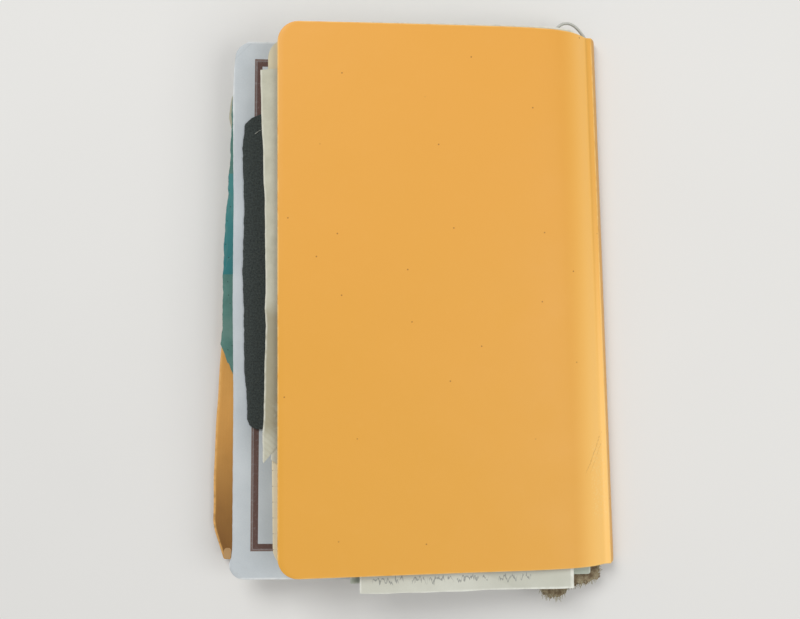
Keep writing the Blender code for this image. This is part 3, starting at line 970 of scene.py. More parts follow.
@dataclass(frozen=True)
class Felt:
    """Pressed wool: matted fibres, dark and pale flecks and a soft sheen."""

    wool: Colour = (74, 81, 79)
    dark: Colour = (50, 55, 53)
    fleck: Colour = (104, 109, 106)

    def dress(self) -> bpy.types.Material:
        """Makes the material."""
        bench = Bench("slate_felt")
        matted = bench.noise(0.7, 6, 0.8)
        across = bench.noise(0.3, 4, 0.7, at=bench.stretched(1.0, 0.2))
        along = bench.noise(0.3, 4, 0.7, at=bench.stretched(0.22, 1.0))
        fibres = across.most(along)
        colour = bench.mix(matted.ramp(0.35, 0.65), self.dark, self.wool)
        colour = bench.mix(fibres.ramp(0.64, 0.76) * 0.28, colour, self.fleck)
        colour = bench.mix(bench.cells(6.5).ramp(0.07, 0.03) * 0.8, colour, self.dark)
        normal = bench.bump(fibres + matted, 0.00022)
        return bench.finish(colour, 0.95, normal, sheen=0.25, gloss=0.1)


@dataclass(frozen=True)
class Weave:
    """Plain-woven cloth: over-and-under threads, with threads of uneven tone.

    Attributes:
        name: The material's name.
        yarn: The threads' colour.
        gap: Colour between the threads.
        pale: Colour of the paler threads and the worn parts.
        pitch: Distance between threads, in millimetres.
        mapped: Whether the piece has a flat map.
        open_weave: How much of the gaps shows, 0 to 1.
        plane: Which two axes the threads follow where it isn't mapped.
    """

    name: str
    yarn: Colour
    gap: Colour
    pale: Colour
    pitch: float = 0.7
    mapped: bool = True
    open_weave: float = 0.5
    plane: tuple[str, str] = ("X", "Y")

    def dress(self) -> bpy.types.Material:
        """Makes the material."""
        bench = Bench(self.name, self.mapped)
        x = bench.add("ShaderNodeSeparateXYZ", {}, {0: bench.where}, self.plane[0])
        y = bench.add("ShaderNodeSeparateXYZ", {}, {0: bench.where}, self.plane[1])
        turn = math.pi / self.pitch
        wobble = (bench.noise(3, 2) - 0.5) * 0.8
        warp = abs((x * turn + wobble).sine())
        weft = abs((y * turn + wobble).sine())
        over = ((x * turn).sine() * (y * turn).sine()).ramp(-0.1, 0.1)
        height = warp * over + weft * (1 - over)
        holes = warp.most(weft).ramp(0.35, 0.1) + (1 - height).ramp(0.5, 1.0) * self.open_weave
        colour = bench.mix(bench.noise(2.2, 4).ramp(0.35, 0.7), self.yarn, self.pale)
        colour = bench.mix(holes.least(1.0), colour, self.gap)
        normal = bench.bump(height + bench.noise(0.2, 3) * 0.4, 0.00015)
        return bench.finish(colour, 0.92, normal, sheen=0.15, gloss=0.15)


@dataclass(frozen=True)
class Yarn:
    """Twisted thread: slanting plies, pale on their crowns, with painted shade between them.

    Attributes:
        name: The material's name.
        pale: The plies' crowns.
        dark: Painted shade between the plies.
        twist: Length of a ply's turn, in millimetres.
        mapped: Whether the piece has a map of its round and its length.
    """

    name: str
    pale: Colour
    dark: Colour
    twist: float = 0.8
    mapped: bool = True

    def dress(self) -> bpy.types.Material:
        """Makes the material."""
        bench = Bench(self.name, self.mapped)
        x, y = bench.axes()
        turn = math.tau / self.twist
        ply = ((x * 1.4 + y) * turn).sine().ramp(-1, 1)
        # painted shade between the plies, paler on the crowns
        colour = bench.mix(ply * 0.7 + bench.noise(0.5, 3) * 0.3, self.dark, self.pale)
        normal = bench.bump(ply + bench.noise(0.1, 2) * 0.3, 0.00005)
        return bench.finish(colour, 0.8, normal, sheen=0.1, gloss=0.25)


# ---------------------------------------------------------------- pieces


def add_piece(
    name: str, mesh: bpy.types.Mesh, material: bpy.types.Material, replaced: Sequence[str] = ()
) -> bpy.types.Object:
    """Puts a mesh in the scene as one of the notebook's pieces.

    Args:
        name: The piece's name.
        mesh: Its mesh, in place.
        material: Its material.
        replaced: The frame's nodes that it stands for.

    Returns:
        The object, which rides on nothing yet.
    """
    piece = bpy.data.objects.new(name, mesh)
    bpy.context.scene.collection.objects.link(piece)
    mesh.materials.append(material)
    if replaced:
        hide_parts(*replaced)
    LOG.info("%s: %d faces", name, len(mesh.polygons))
    return piece


def above(plan: Array, height: Array) -> Array:
    """Plan points given their heights."""
    return np.concatenate([plan, height[..., None]], -1)


@dataclass
class Covers:
    """The one skin that runs over the back, down the spine and under the front.

    It is made in two pieces, which meet half way down the spine. Each bends across its hinge.

    Attributes:
        thick: Of the skin.
        lip: How far its rounded edge stands out.
        corner: Radius of the fore corners.
        bend: Outer radius where the skin turns into the spine.
        soften: Rounding of the groove beside the spine.
        turn_width: Width of the band that bends when a cover opens; not used.
        columns: Cells across a cover.
        rows: Cells along it.
        bend_steps: Points round the bend.
        down_steps: Points down half the spine.
        wear: The cover's gentle waves.
    """

    thick: float = 0.00055
    lip: float = 0.00022
    corner: float = 0.008
    bend: float = 0.0008
    soften: float = 0.0005
    turn_width: float = 0.0027
    columns: int = 90
    rows: int = 60
    bend_steps: int = 7
    down_steps: int = 9
    wear: Wave = Wave(11, 0.00012, 0.09)

    def profile(self, fore_x: float, end: Callable[[Array], Array]) -> Array:
        """Plan grid of a cover's flat part.

        Args:
            fore_x: X of its fore-edge.
            end: X where it starts to turn into the spine, at each Y.

        Returns:
            The plan points.
        """
        fore_x, low, high = fore_x + self.lip, BOOK.low + self.lip, BOOK.high - self.lip
        width = float(end(np.array(low))) - fore_x
        radius = self.corner - self.lip
        cut = Cut(
            width,
            high - low,
            (radius, 0.0, 0.0, radius),
            spine=lambda y: end(y + low) - end(np.array(low)),
            crowd=CROWD,
        )
        return laid(cut.grid(self.columns, self.rows), (fore_x, low))

    def skin(
        self,
        name: str,
        plan: Array,
        height: Array,
        facing: int,
        material: bpy.types.Material,
        nodes: Sequence[str],
    ) -> bpy.types.Object:
        """A cover with its bend and its half of the spine.

        Args:
            name: The piece's name.
            plan: Plan points of the cover.
            height: Of its outer face there.
            facing: 1 where that face looks up, and -1 where it looks down.
            material: Its material.
            nodes: The frame's nodes that it stands for.

        Returns:
            The piece, which is bound to no body.
        """
        y = plan[:, -1:, 1]
        outer, inner = [above(plan, height)], [above(plan, height - facing * self.thick)]
        turn = np.linspace(0, math.pi / 2, self.bend_steps)[1:]
        centre_x, centre_z = plan[:, -1:, 0], height[:, -1:] - facing * self.bend
        for points, radius in ((outer, self.bend), (inner, self.bend - self.thick)):
            x = centre_x + radius * np.sin(turn)
            z = centre_z + facing * radius * np.cos(turn)
            points.append(np.stack([x, np.broadcast_to(y, x.shape), z], 2))
        share = np.linspace(0, 1, self.down_steps)[1:]
        z = centre_z + (BOOK.spine_height * 0.5 - centre_z) * share
        y_grid = np.broadcast_to(y, z.shape)
        x = BOOK.spine(y_grid, z)
        outer.append(np.stack([x, y_grid, z], 2))
        inner.append(np.stack([x - self.thick, y_grid, z], 2))
        faces = [np.concatenate(outer, 1), np.concatenate(inner, 1)]
        over, under = faces[::facing]
        mesh = Sheet.slab(name, over, under, self.unrolled(faces[0]), self.lip, RIM_STEPS, flush=True)
        return add_piece(name, mesh, material, nodes)

    def back(self, material: bpy.types.Material) -> None:
        """The back cover with the crease and the upper half of the spine."""
        leaf = Leaf.of("back_cover")
        plan = self.profile(BOOK.fore_x, lambda at: BOOK.crease(at) - self.bend)
        x, y = plan[..., 0], plan[..., 1]
        height = leaf.base + leaf.thick + leaf.rise * BOOK.swell(x, y, self.soften) + self.wear(x, y)
        piece = self.skin("back_skin", plan, height, 1, material, ["back_cover"])
        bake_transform(piece)

    def front(self, material: bpy.types.Material) -> None:
        """The front cover with the foot and the lower half of the spine."""
        low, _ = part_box("front_cover")
        plan = self.profile(low.x, lambda at: BOOK.spine(at, np.zeros_like(at)) - self.bend)
        level = np.zeros(plan.shape[:2])
        piece = self.skin("front_skin", plan, level, -1, material, ["front_cover", "spine_cover"])
        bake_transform(piece)

    @staticmethod
    def across(x: float) -> tuple[float, float, float]:
        """A point this far over, on a line square to the skewed spine."""
        over = x - BOOK.crease_x
        return (x, BOOK.skew * over, BOOK.spine_height)

    @staticmethod
    def unrolled(skin: Array) -> Array:
        """The skin's own flat places: X runs on round the bend and over the spine."""
        step = np.linalg.norm(np.diff(skin[..., [0, 2]], axis=1), axis=2)
        run = np.concatenate([np.zeros((len(skin), 1)), np.cumsum(step, 1)], 1)
        past = skin[..., 0] >= BOOK.crease(skin[..., 1]) - BEND_ROOM
        joint = np.argmax(past, axis=1)
        rows = np.arange(len(skin))
        start = skin[rows, joint, 0] - run[rows, joint]
        return np.stack([np.where(past, run + start[:, None], skin[..., 0]), skin[..., 1]], 2)

    def make(self) -> None:
        """Makes both pieces."""
        material = CoverSkin().dress()
        self.back(material)
        self.front(material)


@dataclass
class TextBlock:
    """The sewn pages, the endpapers, the lining and the sewing.

    Attributes:
        sheets: Folded sheets in a gathering.
        paper: Thickness of the paper.
        corner: Radius of the pages' fore corners.
        proud_tail: How far the pages stand out past the back cover, at the tail.
        proud_head: The same at the head.
        droops: How far the lowest leaf of each gathering hangs below it at the fore-edge.
        insets: How far the top leaf of each gathering stands back at the fore-edge.
        spread: Each sheet's part of the droop, from the outermost.
        hang: Over 1 keeps the droop near the fore-edge.
        uneven: How far the leaves' fore-edges differ.
        ripple: Height of a gathering's waves.
        fold_steps: Points round a fold, with both ends.
        paste_in: How much less an endpaper's corner radius is.
        columns: Cells across a leaf.
        rows: Cells along it.
    """

    sheets: int = 4
    paper: float = 0.00008
    corner: float = 0.008
    proud_tail: float = 0.0024
    proud_head: float = 0.0044
    droops: tuple[float, ...] = (0.0, 0.0011, 0.0032, 0.0013, 0.0004)
    insets: tuple[float, ...] = (0.0004, 0.0006, 0.0003, 0.0007, 0.0004)
    spread: tuple[float, ...] = (1.0, 0.55, 0.25, 0.08)
    hang: float = 1.6
    uneven: float = 0.0005
    ripple: float = 0.00008
    fold_steps: int = 7
    paste_in: float = 0.002
    columns: int = 30
    rows: int = 16

    def fore_x(self, y: Array) -> Array:
        """X of the pages' fore-edge."""
        share = (y - BOOK.low) / (BOOK.high - BOOK.low)
        return BOOK.fore_x - self.proud_tail - (self.proud_head - self.proud_tail) * share

    def gathering(self, number: int, material: bpy.types.Material) -> bpy.types.Object:
        """One gathering of nested folded sheets, its lower leaves hanging open a little."""
        node = f"gathering_{number}"
        leaf = Leaf.of(node)
        low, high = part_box(node)
        cut = Cut(high.x - low.x, high.y - low.y, (self.corner, 0.0, 0.0, self.corner))
        y = cut.rows(self.rows)
        pulled = cut.rounding(y, Corner.FORE_TAIL, Corner.FORE_HEAD)
        fold = high.x - BOOK.skew * y
        y = y + low.y
        draw = np.random.default_rng(40 + number)
        wave = Wave(60 + number, self.ripple, 0.07)
        slabs = []
        for sheet in range(self.sheets):
            half = leaf.thick / 2 * (1 - (sheet + 0.5) / self.sheets)
            centre = fold - half - self.paper / 2
            across = 1 - (1 - np.linspace(0, 1, self.columns)) ** CROWD
            sides = []
            for side in (1, -1):
                inset = draw.uniform(0.0, self.uneven)
                if side > 0 and sheet == 0:
                    inset += self.insets[number - 1]
                left = self.fore_x(y) + pulled + inset
                x = left[:, None] + (centre - left)[:, None] * across
                y_grid = np.broadcast_to(y[:, None], x.shape)
                swell = BOOK.swell(x, y_grid)
                z = leaf.base + leaf.rise * swell + leaf.thick / 2 + side * half + wave(x, y_grid) * swell
                if side < 0:
                    z = z - self.droops[number - 1] * self.spread[sheet] * np.maximum(swell, 0) ** self.hang
                sides.append(np.stack([x, y_grid, z], 2))
            turn = np.linspace(0, math.pi, self.fold_steps)[1:-1]
            middle = leaf.base + leaf.thick / 2
            round_x = centre[:, None] + half * np.sin(turn)
            round_z = np.broadcast_to(middle + half * np.cos(turn), round_x.shape)
            arc = np.stack([round_x, np.broadcast_to(y[:, None], round_x.shape), round_z], 2)
            spine = np.concatenate([sides[0], arc, sides[1][:, ::-1]], 1)
            up = np.ones(self.columns)
            out_z = np.concatenate([up, np.cos(turn), -up]) * self.paper / 2
            out_x = np.concatenate([up * 0, np.sin(turn), up * 0]) * self.paper / 2
            push = np.stack([out_x, out_x * 0, out_z], 1)[None]
            edge = self.fore_x(spine[..., 1]) + pulled[:, None]
            flat = np.stack([spine[..., 0] - edge, spine[..., 1]], 2)
            slabs.append((spine + push, spine - push, flat))
        piece = add_piece(f"pages_{number}", Sheet.stack(f"pages_{number}", slabs), material, [node])
        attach(piece, "binding" if number == 1 else node)
        return piece

    def endpaper(self, node: str, body: str, material: bpy.types.Material) -> bpy.types.Object:
        """The sheet pasted inside a cover."""
        leaf = Leaf.of(node)
        low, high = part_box(node)
        radius = self.corner - self.paste_in
        cut = Cut(
            high.x - low.x,
            high.y - low.y,
            (radius, 0.0, 0.0, radius),
            spine=lambda y: -BOOK.skew * y,
            crowd=CROWD,
        )
        plan = laid(cut.grid(44, 24), (low.x, low.y))
        under = leaf.z(plan[..., 0], plan[..., 1])
        name = node + "_sheet"
        mesh = Sheet.slab(name, above(plan, under + leaf.thick), above(plan, under), plan)
        piece = add_piece(name, mesh, material, [node])
        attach(piece, body)
        return piece

    def make(self) -> None:
        """Makes the pages and endpapers, and gives the lining and the sewing their materials."""
        ruled = RuledPage("ruled_page", (240, 230, 200), (230, 219, 188), (216, 205, 174))
        material = ruled.dress()
        for number in range(1, len(self.droops) + 1):
            self.gathering(number, material)
        paste = Paper("endpaper_stock", (218, 211, 188), (208, 200, 176), (196, 188, 164)).dress()
        self.endpaper("front_endpaper", "front_cover", paste)
        self.endpaper("back_endpaper", "back_cover", paste)
        mull = Weave(
            "mull", (206, 200, 182), (120, 112, 92), (222, 216, 200), 0.9, False, 0.9, ("Z", "Y")
        ).dress()
        thread = Yarn("linen_thread", (232, 226, 210), (176, 168, 146), 0.6, False).dress()
        for name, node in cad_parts.items():
            if name == "spine_lining" or name.startswith("sewing_thread"):
                node.data.materials.clear()
                node.data.materials.append(mull if name == "spine_lining" else thread)


@dataclass
class Bookmark:
    """The plaited cord: out at the head of the spine, round in a loop, and down between the pages.

    Attributes:
        diameter: Of the cord.
        ring_step: Distance between the tube's rings.
        sides: Flats round it.
        plait_pitch: Length of a strand's turn.
        plait_depth: How far the strands stand out.
        crown: The strands' share of that depth where the cord has its nominal diameter.
        fine_steps: Points between two points of the route.
        route: Points that the cord's middle passes through.
    """

    diameter: float = 0.0012
    ring_step: float = 0.00028
    sides: int = 10
    plait_pitch: float = 0.0017
    plait_depth: float = 0.00006
    crown: float = 0.9
    fine_steps: int = 24
    route: tuple[tuple[float, float, float], ...] = (
        (0.05953, 0.0970, 0.00500),
        (0.05945, 0.0996, 0.00505),
        (0.05890, 0.1022, 0.00545),
        (0.05760, 0.1046, 0.00625),
        (0.05590, 0.1066, 0.00740),
        (0.05400, 0.1083, 0.00870),
        (0.05200, 0.1095, 0.00980),
        (0.04980, 0.1101, 0.01060),
        (0.04760, 0.1098, 0.01100),
        (0.04580, 0.1086, 0.01115),
        (0.04450, 0.1068, 0.01115),
        (0.04370, 0.1042, 0.01110),
        (0.04320, 0.1010, 0.01115),
        (0.04250, 0.0970, 0.01122),
        (0.04160, 0.0910, 0.01132),
        (0.04090, 0.0840, 0.01138),
        (0.04060, 0.0760, 0.01136),
        (0.04080, 0.0670, 0.01126),
        (0.04130, 0.0580, 0.01114),
        (0.04160, 0.0480, 0.01104),
        (0.04220, 0.0380, 0.01092),
        (0.04250, 0.0280, 0.01082),
        (0.04320, 0.0170, 0.01068),
        (0.04340, 0.0060, 0.01058),
        (0.04410, -0.0050, 0.01040),
        (0.04430, -0.0160, 0.01032),
        (0.04490, -0.0280, 0.01015),
        (0.04510, -0.0400, 0.01004),
        (0.04570, -0.0520, 0.00988),
        (0.04580, -0.0640, 0.00980),
        (0.04620, -0.0760, 0.00968),
    )

    def smooth(self) -> Array:
        """Closely spaced points on a smooth curve through the route."""
        spots = np.array(self.route)
        spots = np.concatenate([[2 * spots[0] - spots[1]], spots, [2 * spots[-1] - spots[-2]]])
        share = np.linspace(0, 1, self.fine_steps, endpoint=False)[:, None]
        fine = []
        for before, start, end, after in zip(spots, spots[1:], spots[2:], spots[3:]):
            curve = 2 * before - 5 * start + 4 * end - after
            twist = 3 * start - before - 3 * end + after
            fine.append((2 * start + (end - before) * share + curve * share**2 + twist * share**3) / 2)
        return np.concatenate([*fine, spots[-2:-1]])

    @staticmethod
    def spaced(line: Array, step: float) -> Array:
        """The same line with its points evenly spaced."""
        length = np.concatenate([[0.0], np.cumsum(np.linalg.norm(np.diff(line, axis=0), axis=1))])
        even = np.linspace(0, length[-1], max(2, round(length[-1] / step)))
        return np.stack([np.interp(even, length, line[:, axis]) for axis in range(3)], 1)

    def plait(self, along: Array, turn: Array) -> Array:
        """How far the strands stand out at each place on the cord."""
        twist = along * math.tau / self.plait_pitch
        crowns = np.abs(np.sin(turn * 2 + twist) * np.sin(turn * 2 - twist))
        return self.plait_depth * (crowns - self.crown)

    def make(self) -> None:
        path = self.spaced(self.smooth(), self.ring_step)
        points, faces, flat = Strand.tube(path, self.diameter / 2, self.sides, self.plait)
        mesh = Sheet.mesh("plaited_bookmark", points, faces, flat)
        cotton = Yarn("white_cord", (220, 222, 216), (158, 158, 148), 0.85).dress()
        piece = add_piece("plaited_bookmark", mesh, cotton, ["bookmark_cord"])
        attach(piece, "gathering_3")


@dataclass
class Loose:
    """One sheet tucked between the leaves.

    Attributes:
        name: The piece's name.
        node: The frame's node that it stands for, and the body it rides on.
        slot: Its slot in the record; not used.
        cut: Its outline.
        look: Its material.
        ply: Its thickness.
        turn: How far it is turned about its fore tail corner.
        lift: Height added over the flat sheet's own places.
        columns: Cells across.
        rows: Cells along.
        lip: How far its rounded edge stands out.
        seat: Where in the room of its node it lies, from 0, the bottom, to 1.
        from_edge: Whether its map starts at its uneven fore edge, so that the edge colour follows that edge.
    """

    name: str
    node: str
    slot: str
    cut: Cut
    look: bpy.types.Material
    ply: float = 0.00015
    turn: float = 0.0
    lift: Callable[[Array, Array], Array] | None = None
    columns: int = 60
    rows: int = 100
    lip: float = 0.0
    seat: float = 0.5
    from_edge: bool = False

    def corner(self) -> tuple[float, float]:
        """Where its fore tail corner lies."""
        low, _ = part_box(self.node)
        return low.x, low.y + abs(math.sin(self.turn)) * self.cut.width

    def place(self, flat: Array, above_sheet: float = 0.0) -> Array:
        """Points over the flat sheet's places, at its underside plus a height.

        Args:
            flat: Places on the flat sheet.
            above_sheet: Height over the underside.

        Returns:
            Points in the book.
        """
        leaf = Leaf.of(self.node)
        plan = laid(flat, self.corner(), self.turn)
        x, y = plan[..., 0], plan[..., 1]
        height = leaf.z(x, y) + (leaf.thick - self.ply) * self.seat + above_sheet
        if self.lift is not None:
            height = height + self.lift(flat[..., 0], flat[..., 1])
        return above(plan, height)

    def make(self) -> bpy.types.Object:
        """Makes the sheet."""
        flat = self.cut.grid(self.columns, self.rows)
        under = self.place(flat)
        over = self.place(flat, self.ply)
        steps = 5 if self.lip else 1
        places = flat.copy()
        if self.from_edge:
            places[..., 0] -= self.cut.fore(flat[..., 1])
        mesh = Sheet.slab(self.name, over, under, places, self.lip, steps)
        piece = add_piece(self.name, mesh, self.look, [self.node])
        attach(piece, self.node)
        return piece

    def along_edge(self, count: int, seed: int, reach: tuple[float, float], side: Curve) -> list[Array]:
        """Short stray fibres that stand out of the fore edge.

        Args:
            count: How many.
            seed: Picks them.
            reach: Their shortest and longest.
            side: X of the edge at each Y.

        Returns:
            The path of each fibre.
        """
        margin, root, fan, bend, rise = 0.0005, 0.0012, 1.1, 1.5, 0.0004
        draw = np.random.default_rng(seed)
        share = np.linspace(0, 1, 5)
        paths = []
        for _ in range(count):
            y = draw.uniform(margin, self.cut.height - margin)
            start = np.array([float(side(np.array(y))) + draw.uniform(0, root), y])
            heading = math.pi + draw.uniform(-fan, fan)
            length = draw.uniform(*reach)
            heading = heading + draw.uniform(-bend, bend) * share
            path = start + np.stack([np.cos(heading), np.sin(heading)], 1) * (length * share)[:, None]
            points = self.place(path, self.ply * draw.uniform(0.2, 1.0))
            points[:, 2] += rise * share * draw.uniform(-0.3, 1.0)
            paths.append(points)
        return paths


@dataclass
class TuckedPapers:
    """All the loose papers, from the envelope, the lowest, to the letter under the back cover."""

    def envelope(self) -> None:
        """The kraft envelope with its flap and the pale tab at its corner."""
        width, height = 0.114, 0.162
        # the paler third colour paints a highlight along the kraft's edges
        kraft = Kraft("kraft", (238, 178, 98), (230, 168, 88), (238, 184, 110), (114.0, 162.0), 22.0)
        belly = [
            (0.0, 0.0042), (0.0060, 0.0021), (0.0113, 0.0001), (0.0150, -0.0008), (0.0335, -0.0015),
            (0.0530, -0.0018), (0.0680, -0.0017), (0.0830, -0.0015), (0.0920, -0.0013), (0.1040, -0.0006),
            (0.1200, 0.0), (height, 0.0002),
        ]
        radius = 0.002
        cut = Cut(
            width, height, (0.0003, radius, radius, radius), fore=bent(belly, Wave(3, 0.00008, 0.03, 2))
        )
        look = kraft.dress()
        sheet = Loose(
            "envelope", "kraft_envelope", "kraft", cut, look, 0.0011, math.radians(-3.3),
            Wave(4, 0.00008, 0.05), 80, 100, 0.0004, seat=0.0, from_edge=True,
        )
        sheet.make()
        tall = 0.120
        point = bent([(0.0, 0.0), (0.045, 0.052), (0.060, 0.056), (0.075, 0.052), (tall, 0.0)])
        wide = 0.057
        flap = Cut(wide, tall, fore=lambda y: wide - np.maximum(point(y), 0.0006))
        self.overlay("envelope_flap", sheet, flap, (width - 0.0595, 0.021), 0.00115, look)
        tab_look = Paper("pale_tab", (214, 176, 126), (200, 158, 108), (224, 192, 148)).dress()
        tab = Cut(0.0030, 0.0042, (0.0013, 0.0012, 0.0012, 0.0013))
        self.overlay("envelope_tab", sheet, tab, (0.0040, 0.0001), 0.00118, tab_look)

    @staticmethod
    def overlay(
        name: str,
        sheet: Loose,
        cut: Cut,
        corner: tuple[float, float],
        height: float,
        look: bpy.types.Material,
        ply: float = 0.00014,
        rows: int = 40,
        own_map: bool = False,
    ) -> None:
        """A smaller sheet pasted on another, or under it.

        Args:
            name: The piece's name.
            sheet: What it lies on.
            cut: Its outline.
            corner: Its fore tail corner on that sheet.
            height: Of its underside over that sheet's underside.
            look: Its material.
            ply: Its thickness.
            rows: Cells along it.
            own_map: Whether its map starts at its own corner and not at that sheet's.
        """
        flat = cut.grid(30, rows)
        place = flat + np.array(corner)
        over, under = sheet.place(place, height + ply), sheet.place(place, height)
        mesh = Sheet.slab(name, over, under, flat if own_map else place)
        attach(add_piece(name, mesh, look), sheet.node)

    def tissue(self) -> None:
        """The crumpled teal tissue, torn all round."""
        outer = [
            (0.0, 0.0076), (0.0053, 0.0067), (0.0097, 0.0050), (0.0213, 0.0006), (0.0240, 0.0009),
            (0.0293, 0.0013), (0.0497, 0.0015), (0.0693, 0.0023), (0.0793, 0.0033), (0.0897, 0.0039),
            (0.098, 0.0045), (0.122, 0.0053),
        ]
        cut = Cut(
            0.058,
            0.1213,
            fore=bent(outer, Wave(21, 0.00013, 0.012, 4, 0.6)),
            spine=lambda y: Wave(22, 0.002, 0.02, 4).along(y) - 0.002,
            tail=lambda x: 0.0012 + Wave(23, 0.0010, 0.012, 4).along(x),
            head=lambda x: Wave(24, 0.0003, 0.012, 4).along(x) - np.clip(x - 0.0065, 0, 0.015),
        )
        creases = Wave(25, 0.0001, 0.016, 3, 0.5)
        look = TealTissue(
            "teal_tissue_stock", (104, 146, 136), (88, 130, 121), (130, 166, 155), None, 9.0, 0.0001
        ).dress()
        Loose(
            "torn_tissue", "teal_tissue", "tissue", cut, look, 0.0001, 0.0,
            lambda x, y: np.abs(creases(x, y)) * 1.3 - 0.00005, 110, 190, from_edge=True,
        ).make()

    def slip(self) -> None:
        """The beige slip."""
        look = Paper(
            "beige_slip_stock", (196, 192, 168), (172, 168, 146), (206, 202, 180), (45.0, 13.5), 6.0
        ).dress()
        torn = bent([(0.0, 0.0012), (0.0050, 0.0), (0.0104, 0.0007), (0.0135, 0.0013)])
        cut = Cut(0.045, 0.0135, fore=torn)
        Loose("paper_slip", "beige_slip", "slip", cut, look, 0.00012, columns=50, rows=18).make()

    def card(self) -> None:
        """The white card with its printed frame."""
        width, height = 0.099, 0.210
        look = PrintedCard(
            "printed_card", (205, 211, 214), (187, 194, 198), (224, 227, 227), (99.0, 210.0), 30.0, 0.00005
        ).dress()
        bow = [
            (0.0, 0.0002), (0.0065, 0.0003), (0.0085, 0.0011), (0.012, 0.0015), (0.045, 0.0014),
            (0.07, 0.0014), (0.109, 0.0007), (0.148, 0.0007), (0.187, 0.0), (0.199, 0.0003),
            (0.2025, 0.0007), (0.2055, 0.0011),
            (0.2070, 0.0018), (0.2085, 0.0032), (height, 0.0060),
        ]
        cut = Cut(width, height, (0.0060, 0.001, 0.001, 0.0), fore=bent(bow, Wave(31, 0.00005, 0.006, 3)))
        curl = Wave(32, 0.00012, 0.12, 2)
        Loose(
            "framed_card_sheet", "framed_card", "card", cut, look, 0.0008, math.radians(-0.55), curl, 70, 150,
            0.00018, 0.3,
        ).make()

    def patch(self) -> None:
        """The slate felt, with a furred edge."""
        width, height = 0.055, 0.1225
        outer = [
            (0.0, 0.0048), (0.0012, 0.0022), (0.0035, 0.0014), (0.0125, 0.0012), (0.0230, 0.0002),
            (0.0480, 0.0), (0.0600, -0.0005), (0.0850, 0.0002), (0.1085, -0.0005), (0.1185, 0.0004),
            (0.1210, 0.0030),
            (height, 0.0066),
        ]
        rough = Wave(41, 0.00008, 0.008, 4, 0.7)
        edge = bent(outer, rough)
        cut = Cut(width, height, fore=edge, tail=rough.along, head=lambda x: rough.along(x + 1))
        look = Felt().dress()
        sheet = Loose(
            "felt_patch", "slate_patch", "patch", cut, look, 0.0007, columns=90, rows=160, lip=0.0002
        )
        felt = sheet.make()
        hairs = Strand.bundle("felt_hairs", sheet.along_edge(130, 42, (0.0003, 0.0010), edge), 0.000025)
        fuzz = add_piece("felt_hairs", hairs, look)
        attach(fuzz, "slate_patch")
        pale = Paper("stray_hair", (214, 214, 206), (190, 190, 180), (214, 214, 206)).dress()
        stray = self.stray_hair(sheet)
        hair = Strand.bundle("stray_white_hair", [stray], 0.00009, 6)
        strand = add_piece("stray_white_hair", hair, pale)
        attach(strand, "slate_patch")

    @staticmethod
    def stray_hair(sheet: Loose) -> Array:
        """One pale fibre that lies on the felt near its head corner."""
        start, reach, bow, level = (0.0042, 0.1148), (0.0042, 0.0018), 0.0006, 0.00082
        share = np.linspace(0, 1, 14)
        x = start[0] + reach[0] * share
        y = start[1] + reach[1] * share + bow * np.sin(share * math.pi)
        return sheet.place(np.stack([x, y], 1), level)

    def sage(self) -> None:
        """The stained sage sheet, with a paler piece under its tail edge."""
        width, height = 0.036, 0.1515
        look = SageSheet(
            "sage_stock", (197, 196, 178), (181, 180, 161), (210, 209, 195), (36.0, 151.5), 7.0, 0.0002
        ).dress()
        outer = [
            (0.0, 0.0012), (0.0013, 0.0009), (0.0104, 0.0011), (0.0254, 0.0015), (0.0368, 0.0018),
            (0.0519, 0.00204), (0.0821, 0.00203), (0.1009, 0.0017), (0.1198, 0.0011), (0.1349, 0.0005),
            (height, 0.0001),
        ]
        slant = bent([(0.0, 0.0), (0.0009, 0.0011), (0.0063, 0.0076), (0.0110, 0.0112), (width, 0.0125)])
        head = bent([(0.0, -0.0015), (0.0063, -0.0008), (width, 0.0)])
        lift = Wave(52, 0.00005, 0.04)
        cut = Cut(width, height, fore=bent(outer, Wave(51, 0.00010, 0.02, 3)), tail=slant, head=head)
        sheet = Loose(
            "sage_paper", "sage_sheet", "sage", cut, look, 0.00016, 0.0, lift, 50, 130,
            seat=0.8, from_edge=True,
        )
        sheet.make()
        pale = Paper(
            "sage_lining", (204, 203, 187), (192, 190, 172), (212, 210, 196), (26.0, 20.0), 6.0, 0.0001
        ).dress()
        under = bent([(0.0, 0.0014), (0.0033, -0.0006), (0.026, -0.0010)])
        lining = Cut(0.026, 0.020, fore=lambda y: y * 0.05, tail=under)
        corner = (0.0040, 0.0014)
        self.overlay("sage_corner", sheet, lining, corner, -0.00018, pale, 0.00012, 20, own_map=True)

    def blue(self) -> None:
        """The thin blue-green sheet, which shows at the tail."""
        height = 0.130
        look = Paper(
            "blue_stock", (192, 200, 186), (172, 181, 167), (212, 217, 204), (95.0, 130.0), 20.0, 0.00012
        ).dress()
        edge = Wave(61, 0.00035, 0.06, 2)
        cut = Cut(0.095, height, (0.0006, 0.001, 0.0, 0.0), tail=lambda x: 0.0004 + edge.along(x))
        Loose("blue_paper", "blue_sheet", "blue", cut, look, 0.00012, lift=Wave(62, 0.00007, 0.05)).make()

    def letter(self) -> None:
        """The folded letter, which shows at the tail."""
        width, height = 0.0838, 0.219
        look = LetterPaper(
            "letter_stock", (214, 215, 203), (198, 198, 185), (228, 229, 219), (83.0, 219.0), 24.0, 0.00012
        ).dress()
        tail = [(0.0, 0.0005), (0.02, 0.0003), (0.045, 0.0), (0.065, -0.0001), (width, -0.0003)]
        cut = Cut(
            width, height, (0.0004, 0.0003, 0.0003, 0.0004), tail=bent(tail, Wave(71, 0.00012, 0.03, 2))
        )
        Loose("letter", "letter_sheet", "letter", cut, look, 0.00013, lift=self.letter_curl, rows=130).make()

